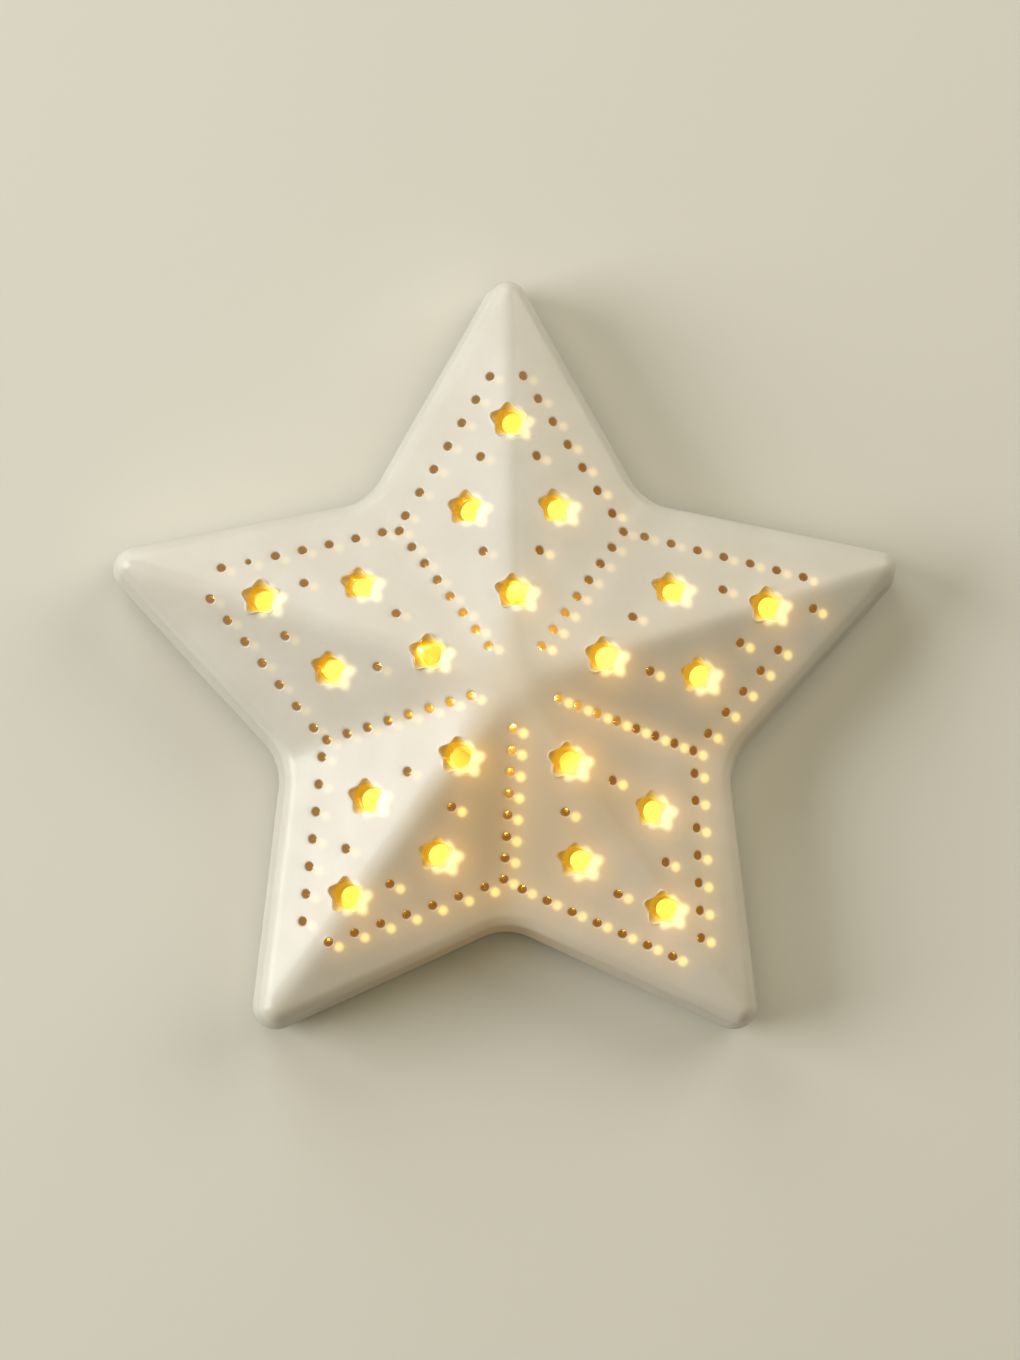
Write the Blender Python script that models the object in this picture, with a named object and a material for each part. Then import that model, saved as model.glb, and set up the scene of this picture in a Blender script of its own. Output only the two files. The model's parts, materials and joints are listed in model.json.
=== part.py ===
"""Star tealight holder: a pierced ceramic star cover lifts off a star tray that holds an LED tealight.

Lengths are in millimetres here and become metres where a mesh is made. The world origin is the star's
centre on the table, +Z is up and +Y points along the first arm.
"""

import math

import bmesh
import bpy
from mathutils import Matrix, Vector

MM = 0.001
GAP = 0.3  # clearance between pieces that rest on or sit beside each other

# Star outline at the cover's rim: straight arm sides, rounded tips and rounded notches.
ARMS = 5
TIP_RADIUS = 139.0  # where an arm's two sides would meet
NOTCH_RADIUS = 75.0  # where the sides of two neighbouring arms would meet
TIP_FILLET = 7.5
NOTCH_FILLET = 18.0
LEAST_FILLET = 1.0
TIP_STEPS = 6
NOTCH_STEPS = 6

# Heights from the table up.
PAD_HEIGHT = 2.0
TRAY_BOTTOM = PAD_HEIGHT + GAP
TRAY_TOP = 6.8
RIM_HEIGHT = TRAY_TOP + GAP
EAVES_HEIGHT = 27.0

# Cover: a drafted wall, a rounded shoulder and a ten-sided roof.
WALL = 4.0
WALL_DRAFT = 1.5
SHOULDER_FILLET = 3.5
INNER_FILLET = 2.0
ROOF_SLOPE = math.radians(25.0)
APEX_SOFTENING = 1.0
RIM_ROUNDING = 0.7
ROOF_RING_SCALES = (0.66, 0.33, 0.07)

# Hole pattern, as (along the arm, to either side of it) from the pattern's centre. It was laid out
# by hand: its centre is a little off the star's, and each arm's share is turned a little.
PATTERN_CENTRE = Vector((0.8, -0.35))
ARM_TURNS = [math.radians(turn) for turn in (1.0, -1.1, -2.7, -2.1, -0.2)]
EDGE_ROW = ((98.0, 5.3), (54.3, 32.6), 7)  # first dot, last dot, how many
VALLEY_ROW = (60.3, 14.2, 8)  # first radius, last radius, how many
DOT_PAIRS = ((72.1, 8.9), (41.7, 8.9))
STAR_PAIR = (55.9, 14.2)
STARS_ON_RIDGE = (83.5, 28.6)
DOT_RADIUS = 1.4
SHRUNK_DOT_RADIUS = 0.9
DOT_SIDES = 8
STAR_HOLE_POINT = 5.8
STAR_HOLE_NOTCH = 4.1
STAR_RECESS = 1.2  # depth of a star's points, below which its hole turns round
BORE_TOP = 1.7
BORE_RADIUS = 3.7
BORE_WAY = Vector((0.36, -0.12, -1.1))  # star holes are pierced downwards with a slight lean
BORE_RUN = 5.0
CUT_ABOVE = 2.5
CUT_BELOW = WALL + 3.0
LEFT_ARM = 1
RIGHT_ARM = 4
CLOSED_DOT = (RIGHT_ARM, -1, 1)  # arm, side and place in its edge row: glazed shut
SHRUNK_DOT = (LEFT_ARM, -1, 1)  # half closed by glaze

# Tray: a locating lip inside the cover's wall and a socket ring round the tealight.
TRAY_INSET = 1.3
LIP_CLEARANCE = 1.2
LIP_WIDTH = 3.0
LIP_HEIGHT = 4.0
SOCKET_RADIUS = 20.25
SOCKET_WIDTH = 3.25
SOCKET_HEIGHT = 5.0
TRAY_CHAMFER = 0.5
PAD_RADIUS = 7.0
PAD_DISTANCE = 92.0

# Tealight, with heights from its own underside.
CANDLE_RADIUS = 18.75
CANDLE_HEIGHT = 17.0
CANDLE_WALL = 1.5
CANDLE_CEILING = 13.6
FLAME_HOLE = 5.4
FLOOR_RADIUS = CANDLE_RADIUS - CANDLE_WALL - GAP
FLOOR_TOP = 7.6
FLAME_HEIGHT = 36.0
BATTERY_X = -2.0
CELL_RADIUS = 10.0
CELL_HEIGHT = 3.2
CELL_BOTTOM = 1.9
POCKET_CLEARANCE = 0.5
POCKET_TOP = 6.1
COVER_RADIUS = 11.7
COVER_HEIGHT = 1.6
LEDGE_HEIGHT = 0.8
LUG_RADIUS = 13.0
LUG_WIDTH = 4.0
UNLOCK_TURN = math.radians(40.0)
BOARD_X = -1.0
BOARD_RADIUS = 11.8
BOARD_BOTTOM = FLOOR_TOP + 2 * GAP
BOARD_HEIGHT = 1.0
LED_RADIUS = 2.5
LED_FLANGE_RADIUS = 2.9
LED_FLANGE_HEIGHT = 1.0
LED_STRAIGHT = 6.2  # from its underside to where its dome begins
COIN_SLOT = (15.0, 1.8, 0.7)  # length, width and depth
CONTACT_SHEET = 0.4
CONTACT_PIN_RADIUS = 0.6
CONTACT_LEAF_RADIUS = 3.5
CONTACT_STRIP_WIDTH = 3.0
CONTACT_SLOT_WIDTH = 4.0
CONTACT_SLOT_REACH = 12.2
SWITCH_X = 14.0
SWITCH_TRAVEL = 3.0
KNOB_WIDTH = 1.8
KNOB_LENGTH = 2.6
SLOT_WIDTH = KNOB_WIDTH + 1.0
SLOT_LENGTH = KNOB_LENGTH + SWITCH_TRAVEL + 1.0
SWITCH_CASE = (4.2, 9.2, 11.4)  # width, length and height of its top
SWITCH_WAY = (2.6, 10.2)  # width and height of the knob's way inside the case
KNOB_TOP = 9.7
WIRE_RADIUS = 0.45
WIRE_SPREAD = 2.2
WIRE_PATH = ((11.6, 10.4), (10.4, 10.9), (8.8, 10.7), (7.6, 9.9))  # as (x, height)
ROUND_STEPS = 48
FINE_STEPS = 24

# Angles of the star outline, worked out from the two radii.
HALF_SECTOR = math.pi / ARMS
TIP_HALF_ANGLE = math.atan2(
    NOTCH_RADIUS * math.sin(HALF_SECTOR), TIP_RADIUS - NOTCH_RADIUS * math.cos(HALF_SECTOR)
)
SIDE_NORMAL = math.pi / 2 - TIP_HALF_ANGLE  # between an arm's axis and the outward normal of its side
SIDE_DISTANCE = TIP_RADIUS * math.sin(TIP_HALF_ANGLE)  # from the star's centre to every side
APEX_HEIGHT = EAVES_HEIGHT + (SIDE_DISTANCE - WALL_DRAFT) * math.tan(ROOF_SLOPE)


def arm_angle(arm):
    return math.pi / 2 + 2 * HALF_SECTOR * arm


def polar(radius, angle, z=0.0):
    return Vector((radius * math.cos(angle), radius * math.sin(angle), z))


# --- outline and profile curves ---------------------------------------------------------------


def arc(centre, radius, start, end, steps):
    """Points on an arc in the plane of the table, ends included."""
    return [centre + polar(radius, start + (end - start) * i / steps) for i in range(steps + 1)]


def star_ring(inset, z):
    """The star outline moved in by inset, anticlockwise, at height z."""
    side = SIDE_DISTANCE - inset
    tip_fillet = max(TIP_FILLET - inset, LEAST_FILLET)
    notch_fillet = NOTCH_FILLET + inset
    tip_centre = (side - tip_fillet) / math.sin(TIP_HALF_ANGLE)
    notch_half_turn = SIDE_NORMAL - HALF_SECTOR
    notch_centre = (side + notch_fillet) / math.cos(notch_half_turn)
    ring = []
    for arm in range(ARMS):
        axis = arm_angle(arm)
        valley = axis + HALF_SECTOR
        inward = valley + math.pi
        ring += arc(polar(tip_centre, axis, z), tip_fillet, axis - SIDE_NORMAL, axis + SIDE_NORMAL, TIP_STEPS)
        ring += arc(
            polar(notch_centre, valley, z),
            notch_fillet,
            inward + notch_half_turn,
            inward - notch_half_turn,
            NOTCH_STEPS,
        )
    return ring


def scaled_ring(ring, scale, z):
    return [Vector((p.x * scale, p.y * scale, z)) for p in ring]


def round_ring(radius, z):
    """A circle with one point on the way to each point of the star outline."""
    return [polar(radius, math.atan2(p.y, p.x), z) for p in star_ring(0.0, z)]


def rounded_corner(before, corner, after, radius, steps=4):
    """Points that round the corner of a profile, where each point is (distance, height)."""
    before, corner, after = Vector(before), Vector(corner), Vector(after)
    back = (before - corner).normalized()
    on = (after - corner).normalized()
    half_angle = back.angle(on) / 2
    centre = corner + (back + on).normalized() * (radius / math.sin(half_angle))
    reach = radius / math.tan(half_angle)
    start = corner + back * reach - centre
    turn = start.angle_signed(corner + on * reach - centre)
    return [tuple(centre + Matrix.Rotation(-turn * i / steps, 2) @ start) for i in range(steps + 1)]


# --- meshes -----------------------------------------------------------------------------------


def loft(rings, first_pole, last_pole):
    """A closed solid through rings of equal length, closed to a point at each end."""
    bm = bmesh.new()
    loops = [[bm.verts.new(p) for p in ring] for ring in rings]
    for lower, upper in zip(loops, loops[1:]):
        for i, vert in enumerate(lower):
            after = (i + 1) % len(lower)
            bm.faces.new((vert, lower[after], upper[after], upper[i]))
    for loop, pole in ((loops[0], first_pole), (loops[-1], last_pole)):
        top = bm.verts.new(pole)
        for i, vert in enumerate(loop):
            bm.faces.new((vert, loop[(i + 1) % len(loop)], top))
    return bm


def revolve(profile, steps=ROUND_STEPS):
    """A solid from a profile of (radius, height) points, spun about Z.

    A profile that doesn't start and end on the axis is closed into a loop first.
    """
    bm = bmesh.new()
    verts = [bm.verts.new((radius, 0.0, height)) for radius, height in profile]
    edges = [bm.edges.new(pair) for pair in zip(verts, verts[1:])]
    if profile[0][0] > 0:
        edges.append(bm.edges.new((verts[-1], verts[0])))
    around = {"cent": (0, 0, 0), "axis": (0, 0, 1), "angle": 2 * math.pi, "steps": steps}
    bmesh.ops.spin(bm, geom=verts + edges, use_merge=True, **around)
    bmesh.ops.remove_doubles(bm, verts=bm.verts, dist=1e-4)
    return bm


def box(low, high):
    """A box between two corners."""
    bm = bmesh.new()
    bmesh.ops.create_cube(bm, size=1.0)
    low, high = Vector(low), Vector(high)
    matrix = Matrix.Translation((low + high) / 2) @ Matrix.Diagonal((*(high - low), 1.0))
    bmesh.ops.transform(bm, matrix=matrix, verts=bm.verts)
    return bm


def add_capped(bm, rings):
    """A closed skin through rings of equal length, the first and the last one capped, added to bm."""
    loops = [[bm.verts.new(point) for point in ring] for ring in rings]
    bm.faces.new(reversed(loops[0]))
    bm.faces.new(loops[-1])
    for lower, upper in zip(loops, loops[1:]):
        for i, vert in enumerate(lower):
            after = (i + 1) % len(lower)
            bm.faces.new((vert, lower[after], upper[after], upper[i]))


# --- objects ----------------------------------------------------------------------------------


def clear_scene():
    for item in list(bpy.data.objects):
        bpy.data.objects.remove(item, do_unlink=True)


def material(name, colour, roughness, metallic=0.0, transmission=0.0):
    made = bpy.data.materials.new(name)
    made.use_nodes = True
    shader = made.node_tree.nodes["Principled BSDF"]
    shader.inputs["Base Color"].default_value = (*colour, 1.0)
    shader.inputs["Roughness"].default_value = roughness
    shader.inputs["Metallic"].default_value = metallic
    shader.inputs["Transmission Weight"].default_value = transmission
    made.diffuse_color = (*colour, 1.0)
    return made


def empty(name, location, parent=None):
    made = bpy.data.objects.new(name, None)
    made.location = Vector(location) * MM
    made.parent = parent
    bpy.context.collection.objects.link(made)
    return made


def solid(name, bm, parent, finish=None, location=(0, 0, 0), turn=0.0):
    """A mesh object from bm, in metres, facing out and shaded smooth between sharp edges."""
    bmesh.ops.recalc_face_normals(bm, faces=bm.faces)
    bmesh.ops.scale(bm, vec=(MM, MM, MM), verts=bm.verts)
    mesh = bpy.data.meshes.new(name)
    bm.to_mesh(mesh)
    bm.free()
    mesh.shade_smooth()
    mesh.set_sharp_from_angle(angle=math.radians(30))
    if finish:
        mesh.materials.append(finish)
    made = bpy.data.objects.new(name, mesh)
    made.location = Vector(location) * MM
    made.rotation_euler.z = turn
    made.parent = parent
    bpy.context.collection.objects.link(made)
    return made


def combine(target, tool, operation="DIFFERENCE"):
    """Cut target with tool, or join tool to it, and keep tool only as a hidden guide."""
    tool.hide_render = True
    tool.display_type = "WIRE"
    modifier = target.modifiers.new(f"{operation.lower()}_{tool.name}", "BOOLEAN")
    modifier.operation = operation
    modifier.object = tool
    modifier.solver = "EXACT"


def soften(target, width, segments=2):
    """Bevel the sharp edges of a small moulded or pressed piece."""
    modifier = target.modifiers.new("softened_edges", "BEVEL")
    modifier.width = width * MM
    modifier.segments = segments
    modifier.limit_method = "ANGLE"


# --- star cover -------------------------------------------------------------------------------


def roof_height(x, y):
    """Height of the roof's ten flat faces above a point of the plan."""
    angle = (math.atan2(y, x) - arm_angle(0) + HALF_SECTOR) % (2 * HALF_SECTOR) - HALF_SECTOR
    out = math.hypot(x, y) * math.cos(abs(angle) - SIDE_NORMAL)
    return APEX_HEIGHT - out * math.tan(ROOF_SLOPE)


def roof_frame(plan, along):
    """Matrix to the roof over a plan point: Z out of the roof, X in the direction along."""
    reach = 2.0
    east, north = Vector((reach, 0)), Vector((0, reach))
    fall_x = roof_height(*(plan + east)) - roof_height(*(plan - east))
    fall_y = roof_height(*(plan + north)) - roof_height(*(plan - north))
    out = Vector((-fall_x, -fall_y, 2 * reach)).normalized()
    forward = (along - out * along.dot(out)).normalized()
    turn = Matrix((forward, out.cross(forward), out)).transposed().to_4x4()
    return Matrix.Translation((*plan, roof_height(*plan))) @ turn


def hole_ring(frame, radii, count, height):
    """A ring of points round a hole at a height over the roof, its radii taken in turn from +X on."""
    return [frame @ polar(radii[i % len(radii)], 2 * math.pi * i / count, height) for i in range(count)]


def dot_rings(frame, radius):
    return [hole_ring(frame, (radius,), DOT_SIDES, height) for height in (-CUT_BELOW, CUT_ABOVE)]


def star_rings(frame):
    """A star hole from the far end of its leaning round bore up to its star-shaped mouth."""
    bore = hole_ring(frame, (BORE_RADIUS,), 2 * ARMS, -BORE_TOP)
    below = [point + BORE_WAY * BORE_RUN for point in bore]
    radii = (STAR_HOLE_POINT, STAR_HOLE_NOTCH)
    return [below, bore, *(hole_ring(frame, radii, 2 * ARMS, height) for height in (-STAR_RECESS, CUT_ABOVE))]


def edge_dots(arm, side):
    """Plan places and radii of the row of dots along one side of an arm."""
    first, last, count = Vector(EDGE_ROW[0]), Vector(EDGE_ROW[1]), EDGE_ROW[2]
    for place in range(count):
        if (arm, side, place) == CLOSED_DOT:
            continue
        shrunk = (arm, side, place) == SHRUNK_DOT
        u, v = first.lerp(last, place / (count - 1))
        yield u, side * v, SHRUNK_DOT_RADIUS if shrunk else DOT_RADIUS


def valley_dots(arm):
    """Plan places and radii of the row of dots down the valley between an arm and the next."""
    first, last, count = VALLEY_ROW
    half_way = (ARM_TURNS[(arm + 1) % ARMS] - ARM_TURNS[arm]) / 2
    for place in range(count):
        spot = polar(first + (last - first) * place / (count - 1), HALF_SECTOR + half_way)
        yield spot.x, spot.y, DOT_RADIUS


def hole_cutter(parent):
    """Every hole of the cover as one mesh of separate bodies."""
    bm = bmesh.new()
    for arm in range(ARMS):
        axis = arm_angle(arm) + ARM_TURNS[arm]
        turn = Matrix.Rotation(axis, 2)
        dots = [*edge_dots(arm, 1), *edge_dots(arm, -1), *valley_dots(arm)]
        dots += [(u, side * v, DOT_RADIUS) for u, v in DOT_PAIRS for side in (1, -1)]
        stars = [(STAR_PAIR[0], side * STAR_PAIR[1]) for side in (1, -1)]
        stars += [(u, 0.0) for u in STARS_ON_RIDGE]
        for u, v, radius in dots:
            frame = roof_frame(PATTERN_CENTRE + turn @ Vector((u, v)), polar(1.0, axis))
            add_capped(bm, dot_rings(frame, radius))
        for u, v in stars:
            frame = roof_frame(PATTERN_CENTRE + turn @ Vector((u, v)), polar(1.0, axis))
            add_capped(bm, star_rings(frame))
    return solid("cover_holes", bm, parent)


def star_cover(parent, glaze):
    """The pierced shell: inside of the roof and wall, round the rim, then the outside up to the apex."""
    slope = math.tan(ROOF_SLOPE)
    drop = WALL / math.cos(ROOF_SLOPE)
    on_roof = SIDE_DISTANCE / 2
    outer_corner = (WALL_DRAFT, EAVES_HEIGHT)
    outer_roof = (on_roof, EAVES_HEIGHT + (on_roof - WALL_DRAFT) * slope)
    outer = rounded_corner((0.0, RIM_HEIGHT), outer_corner, outer_roof, SHOULDER_FILLET)
    inner_corner = (WALL_DRAFT + WALL, EAVES_HEIGHT + WALL * slope - drop)
    inner_roof = (on_roof, outer_roof[1] - drop)
    inner = rounded_corner((WALL, RIM_HEIGHT), inner_corner, inner_roof, INNER_FILLET, steps=2)
    rim = [
        (WALL, RIM_HEIGHT + RIM_ROUNDING),
        (WALL - RIM_ROUNDING, RIM_HEIGHT),
        (RIM_ROUNDING, RIM_HEIGHT),
        (0.0, RIM_HEIGHT + RIM_ROUNDING),
    ]
    inside = [star_ring(*point) for point in reversed(inner)]
    outside = [star_ring(*point) for point in outer]
    inner_apex = APEX_HEIGHT - drop
    rings = roof_rings(inside[0], inner_apex)[::-1] + inside + [star_ring(*point) for point in rim]
    rings += outside + roof_rings(outside[-1], APEX_HEIGHT)
    top = (0, 0, APEX_HEIGHT - APEX_SOFTENING)
    bm = loft(rings, (0, 0, inner_apex - APEX_SOFTENING), top)
    cover = solid("star_cover", bm, parent, glaze)
    combine(cover, hole_cutter(parent))


def roof_rings(eaves, apex):
    """Rings up the roof from its eaves ring towards an apex height."""
    rise = apex - eaves[0].z
    return [scaled_ring(eaves, scale, apex - rise * scale) for scale in ROOF_RING_SCALES]


# --- tray and pads ----------------------------------------------------------------------------


def star_base(parent, glaze):
    """The tray: a star plate with a lip inside the cover's wall and a ring round the tealight."""
    chamfer = TRAY_CHAMFER
    lip_out = WALL + LIP_CLEARANCE
    lip_in = lip_out + LIP_WIDTH
    lip_top = TRAY_TOP + LIP_HEIGHT
    plate = [
        (TRAY_INSET + 2 * chamfer, TRAY_BOTTOM),
        (TRAY_INSET, TRAY_BOTTOM + 2 * chamfer),
        (TRAY_INSET, TRAY_TOP - chamfer),
        (TRAY_INSET + chamfer, TRAY_TOP),
        (lip_out, TRAY_TOP),
        (lip_out, lip_top - chamfer),
        (lip_out + chamfer, lip_top),
        (lip_in - chamfer, lip_top),
        (lip_in, lip_top - chamfer),
        (lip_in, TRAY_TOP),
    ]
    socket_out = SOCKET_RADIUS + SOCKET_WIDTH
    socket_top = TRAY_TOP + SOCKET_HEIGHT
    socket = [
        (socket_out, TRAY_TOP),
        (socket_out, socket_top - chamfer),
        (socket_out - chamfer, socket_top),
        (SOCKET_RADIUS + chamfer, socket_top),
        (SOCKET_RADIUS, socket_top - chamfer),
        (SOCKET_RADIUS, TRAY_TOP),
    ]
    rings = [star_ring(*point) for point in plate] + [round_ring(*point) for point in socket]
    solid("star_base", loft(rings, (0, 0, TRAY_BOTTOM), (0, 0, TRAY_TOP)), parent, glaze)


def felt_pad(name, parent, felt, location):
    edge = 0.4
    profile = [
        (0, PAD_HEIGHT),
        (PAD_RADIUS - edge, PAD_HEIGHT),
        (PAD_RADIUS, PAD_HEIGHT - edge),
        (PAD_RADIUS, 0),
        (0, 0),
    ]
    solid(name, revolve(profile, FINE_STEPS), parent, felt, location)


def felt_pads(parent, felt):
    """One pad under the socket and one under each arm."""
    felt_pad("felt_pad_centre", parent, felt, (0, 0, 0))
    for arm in range(ARMS):
        felt_pad(f"felt_pad_arm_{arm + 1}", parent, felt, polar(PAD_DISTANCE, arm_angle(arm)))


# --- LED tealight -----------------------------------------------------------------------------


def candle_shell(parent, wax):
    """The candle's body: a straight side, a rounded rim and a dished top with a hole for the flame."""
    rim = rounded_corner(
        (CANDLE_RADIUS, 0), (CANDLE_RADIUS, CANDLE_HEIGHT), (CANDLE_RADIUS - 3, CANDLE_HEIGHT - 0.4), 1.1
    )
    dish = [(15.6, 16.0), (12.0, 15.3), (FLAME_HOLE + 0.5, 15.0), (FLAME_HOLE, 14.6)]
    inner = CANDLE_RADIUS - CANDLE_WALL
    inside = [(FLAME_HOLE, CANDLE_CEILING), (inner, CANDLE_CEILING), (inner, 0)]
    solid("candle_shell", revolve([(CANDLE_RADIUS, 0), *rim, *dish, *inside]), parent, wax)


def candle_floor(parent, plastic):
    """The plug under the candle, with the battery's pocket, a contact slot and the switch slot."""
    edge = 0.4
    profile = [(0, FLOOR_TOP), (FLOOR_RADIUS - edge, FLOOR_TOP), (FLOOR_RADIUS, FLOOR_TOP - edge)]
    profile += [(FLOOR_RADIUS, edge), (FLOOR_RADIUS - edge, 0), (0, 0)]
    floor = solid("candle_floor", revolve(profile), parent, plastic)
    pocket = [
        (0, FLOOR_TOP + 1),
        (1.0, FLOOR_TOP + 1),
        (1.0, POCKET_TOP),
        (CELL_RADIUS + POCKET_CLEARANCE, POCKET_TOP),
        (CELL_RADIUS + POCKET_CLEARANCE, CELL_BOTTOM),
        (LUG_RADIUS + GAP, CELL_BOTTOM),
        (LUG_RADIUS + GAP, LEDGE_HEIGHT),
        (COVER_RADIUS + GAP, LEDGE_HEIGHT),
        (COVER_RADIUS + GAP, -1),
        (0, -1),
    ]
    combine(floor, solid("battery_pocket", revolve(pocket), parent, location=(BATTERY_X, 0, 0)))
    half_slot = CONTACT_SLOT_WIDTH / 2
    slot_low = (-half_slot, -CONTACT_SLOT_REACH, CELL_BOTTOM - 0.1)
    wall_slot = box(slot_low, (half_slot, -CELL_RADIUS, FLOOR_TOP + 1))
    combine(floor, solid("contact_slot", wall_slot, parent, location=(BATTERY_X, 0, 0)))
    lug_way = LUG_WIDTH / 2 + 2 * GAP
    entry = box((-LUG_RADIUS - GAP, -lug_way, -1), (LUG_RADIUS + GAP, lug_way, LEDGE_HEIGHT + 0.3))
    combine(floor, solid("lug_entry", entry, parent, location=(BATTERY_X, 0, 0), turn=UNLOCK_TURN))
    slot = box((-SLOT_WIDTH / 2, -SLOT_LENGTH / 2, -1), (SLOT_WIDTH / 2, SLOT_LENGTH / 2, FLOOR_TOP + 1))
    combine(floor, solid("switch_slot", slot, parent, location=(SWITCH_X, 0, 0)))


def flame_lens(parent, silicone):
    """The hollow flame over the LED, with a flange that keeps it under the candle's top."""
    widest, neck, flange_top = FLAME_HOLE - GAP, 4.9, CANDLE_CEILING - GAP
    outside = [(0, FLAME_HEIGHT), (0.8, 34.9), (2.0, 31.8), (3.4, 27.8), (4.5, 23.8), (widest, 20.0)]
    flange = [(neck, 16.6), (neck, flange_top), (6.6, flange_top), (6.6, 12.2), (3.3, 12.2)]
    inside = [(3.3, 20.0), (2.4, 24.5), (0, 27.0)]
    solid("flame_lens", revolve([*outside, *flange, *inside], FINE_STEPS), parent, silicone)


def led(parent, epoxy):
    bottom = BOARD_BOTTOM + BOARD_HEIGHT + GAP
    dome_base = bottom + LED_STRAIGHT
    dome = [
        (LED_RADIUS * math.sin(math.radians(a)), dome_base + LED_RADIUS * math.cos(math.radians(a)))
        for a in (0, 22.5, 45, 67.5, 90)
    ]
    flange_top = bottom + LED_FLANGE_HEIGHT
    flange = [(LED_RADIUS, flange_top), (LED_FLANGE_RADIUS, flange_top), (LED_FLANGE_RADIUS, bottom)]
    solid("led", revolve([*dome, *flange, (0, bottom)], FINE_STEPS), parent, epoxy)


def circuit_board(parent, laminate):
    top = BOARD_BOTTOM + BOARD_HEIGHT
    profile = [(0, top), (BOARD_RADIUS, top), (BOARD_RADIUS, BOARD_BOTTOM), (0, BOARD_BOTTOM)]
    solid("circuit_board", revolve(profile), parent, laminate, (BOARD_X, 0, 0))


def battery_cell(parent, steel):
    """A coin cell, its smaller cap up."""
    top = CELL_BOTTOM + CELL_HEIGHT
    profile = [
        (0, top),
        (CELL_RADIUS - 1.1, top),
        (CELL_RADIUS - 1.1, top - 0.5),
        (CELL_RADIUS - 0.2, top - 0.5),
        (CELL_RADIUS, top - 0.8),
        (CELL_RADIUS, CELL_BOTTOM + 0.2),
        (CELL_RADIUS - 0.2, CELL_BOTTOM),
        (0, CELL_BOTTOM),
    ]
    solid("battery_cell", revolve(profile), parent, steel, (BATTERY_X, 0, 0))


def battery_cover(parent, plastic):
    """The coin-turn door: two lugs hold it behind the plug's ledge until it turns to their notches."""
    edge = 0.3
    profile = [(0, COVER_HEIGHT), (COVER_RADIUS, COVER_HEIGHT), (COVER_RADIUS, edge)]
    profile += [(COVER_RADIUS - edge, 0), (0, 0)]
    door = solid("battery_cover", revolve(profile), parent, plastic, (BATTERY_X, 0, 0))
    lug_bottom = LEDGE_HEIGHT + 0.15
    bar = box((-LUG_RADIUS, -LUG_WIDTH / 2, lug_bottom), (LUG_RADIUS, LUG_WIDTH / 2, COVER_HEIGHT - 0.1))
    combine(door, solid("cover_lugs", bar, parent, location=(BATTERY_X, 0, 0)), "UNION")
    slot_length, slot_width, slot_depth = COIN_SLOT
    slot = box((-slot_length / 2, -slot_width / 2, -1), (slot_length / 2, slot_width / 2, slot_depth))
    combine(door, solid("coin_slot", slot, parent, location=(BATTERY_X, 0, 0)))


def contacts(parent, brass):
    """A leaf on the cell's cap with its pin, and a strip beside the cell's can."""
    pin_top = BOARD_BOTTOM - GAP
    leaf_bottom = CELL_BOTTOM + CELL_HEIGHT + GAP
    leaf_top = leaf_bottom + CONTACT_SHEET
    pin = [(0, pin_top), (CONTACT_PIN_RADIUS, pin_top), (CONTACT_PIN_RADIUS, leaf_top)]
    leaf = [(CONTACT_LEAF_RADIUS, leaf_top), (CONTACT_LEAF_RADIUS, leaf_bottom), (0, leaf_bottom)]
    solid("contact_negative", revolve([*pin, *leaf], FINE_STEPS), parent, brass, (BATTERY_X, 0, 0))
    near, far = CELL_RADIUS + 0.4, CELL_RADIUS + 0.9
    half_strip = CONTACT_STRIP_WIDTH / 2
    strip = box((-half_strip, -far, CELL_BOTTOM + 0.5), (half_strip, -near, pin_top))
    clip = solid("contact_positive", strip, parent, brass, (BATTERY_X, 0, 0))
    soften(clip, 0.12)


def switch(parent, dark_plastic, knob_plastic):
    """The switch case over the floor's slot, and the knob that slides in both."""
    width, length, top = SWITCH_CASE
    bottom = FLOOR_TOP + GAP
    case_box = box((-width / 2, -length / 2, bottom), (width / 2, length / 2, top))
    case = solid("switch_body", case_box, parent, dark_plastic, (SWITCH_X, 0, 0))
    soften(case, 0.25)
    way_width, way_top = SWITCH_WAY
    way = box((-way_width / 2, -SLOT_LENGTH / 2, bottom - 1), (way_width / 2, SLOT_LENGTH / 2, way_top))
    combine(case, solid("switch_way", way, parent, location=(SWITCH_X, 0, 0)))
    knob_box = box((-KNOB_WIDTH / 2, -KNOB_LENGTH / 2, GAP), (KNOB_WIDTH / 2, KNOB_LENGTH / 2, KNOB_TOP))
    knob = solid("switch_knob", knob_box, parent, knob_plastic, (SWITCH_X, -SWITCH_TRAVEL / 2, 0))
    soften(knob, 0.2)


def wire(name, parent, insulation, side):
    """A short wire from the side of the switch case over to the board."""
    run = bpy.data.curves.new(name, "CURVE")
    run.dimensions = "3D"
    run.bevel_depth = WIRE_RADIUS * MM
    run.bevel_resolution = 2
    run.use_fill_caps = True
    run.resolution_u = 4
    line = run.splines.new("NURBS")
    line.points.add(len(WIRE_PATH) - 1)
    line.use_endpoint_u = True
    line.order_u = 3
    for point, (x, z) in zip(line.points, WIRE_PATH):
        point.co = (x * MM, side * WIRE_SPREAD * MM, z * MM, 1.0)
    run.materials.append(insulation)
    made = bpy.data.objects.new(name, run)
    made.parent = parent
    bpy.context.collection.objects.link(made)


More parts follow.
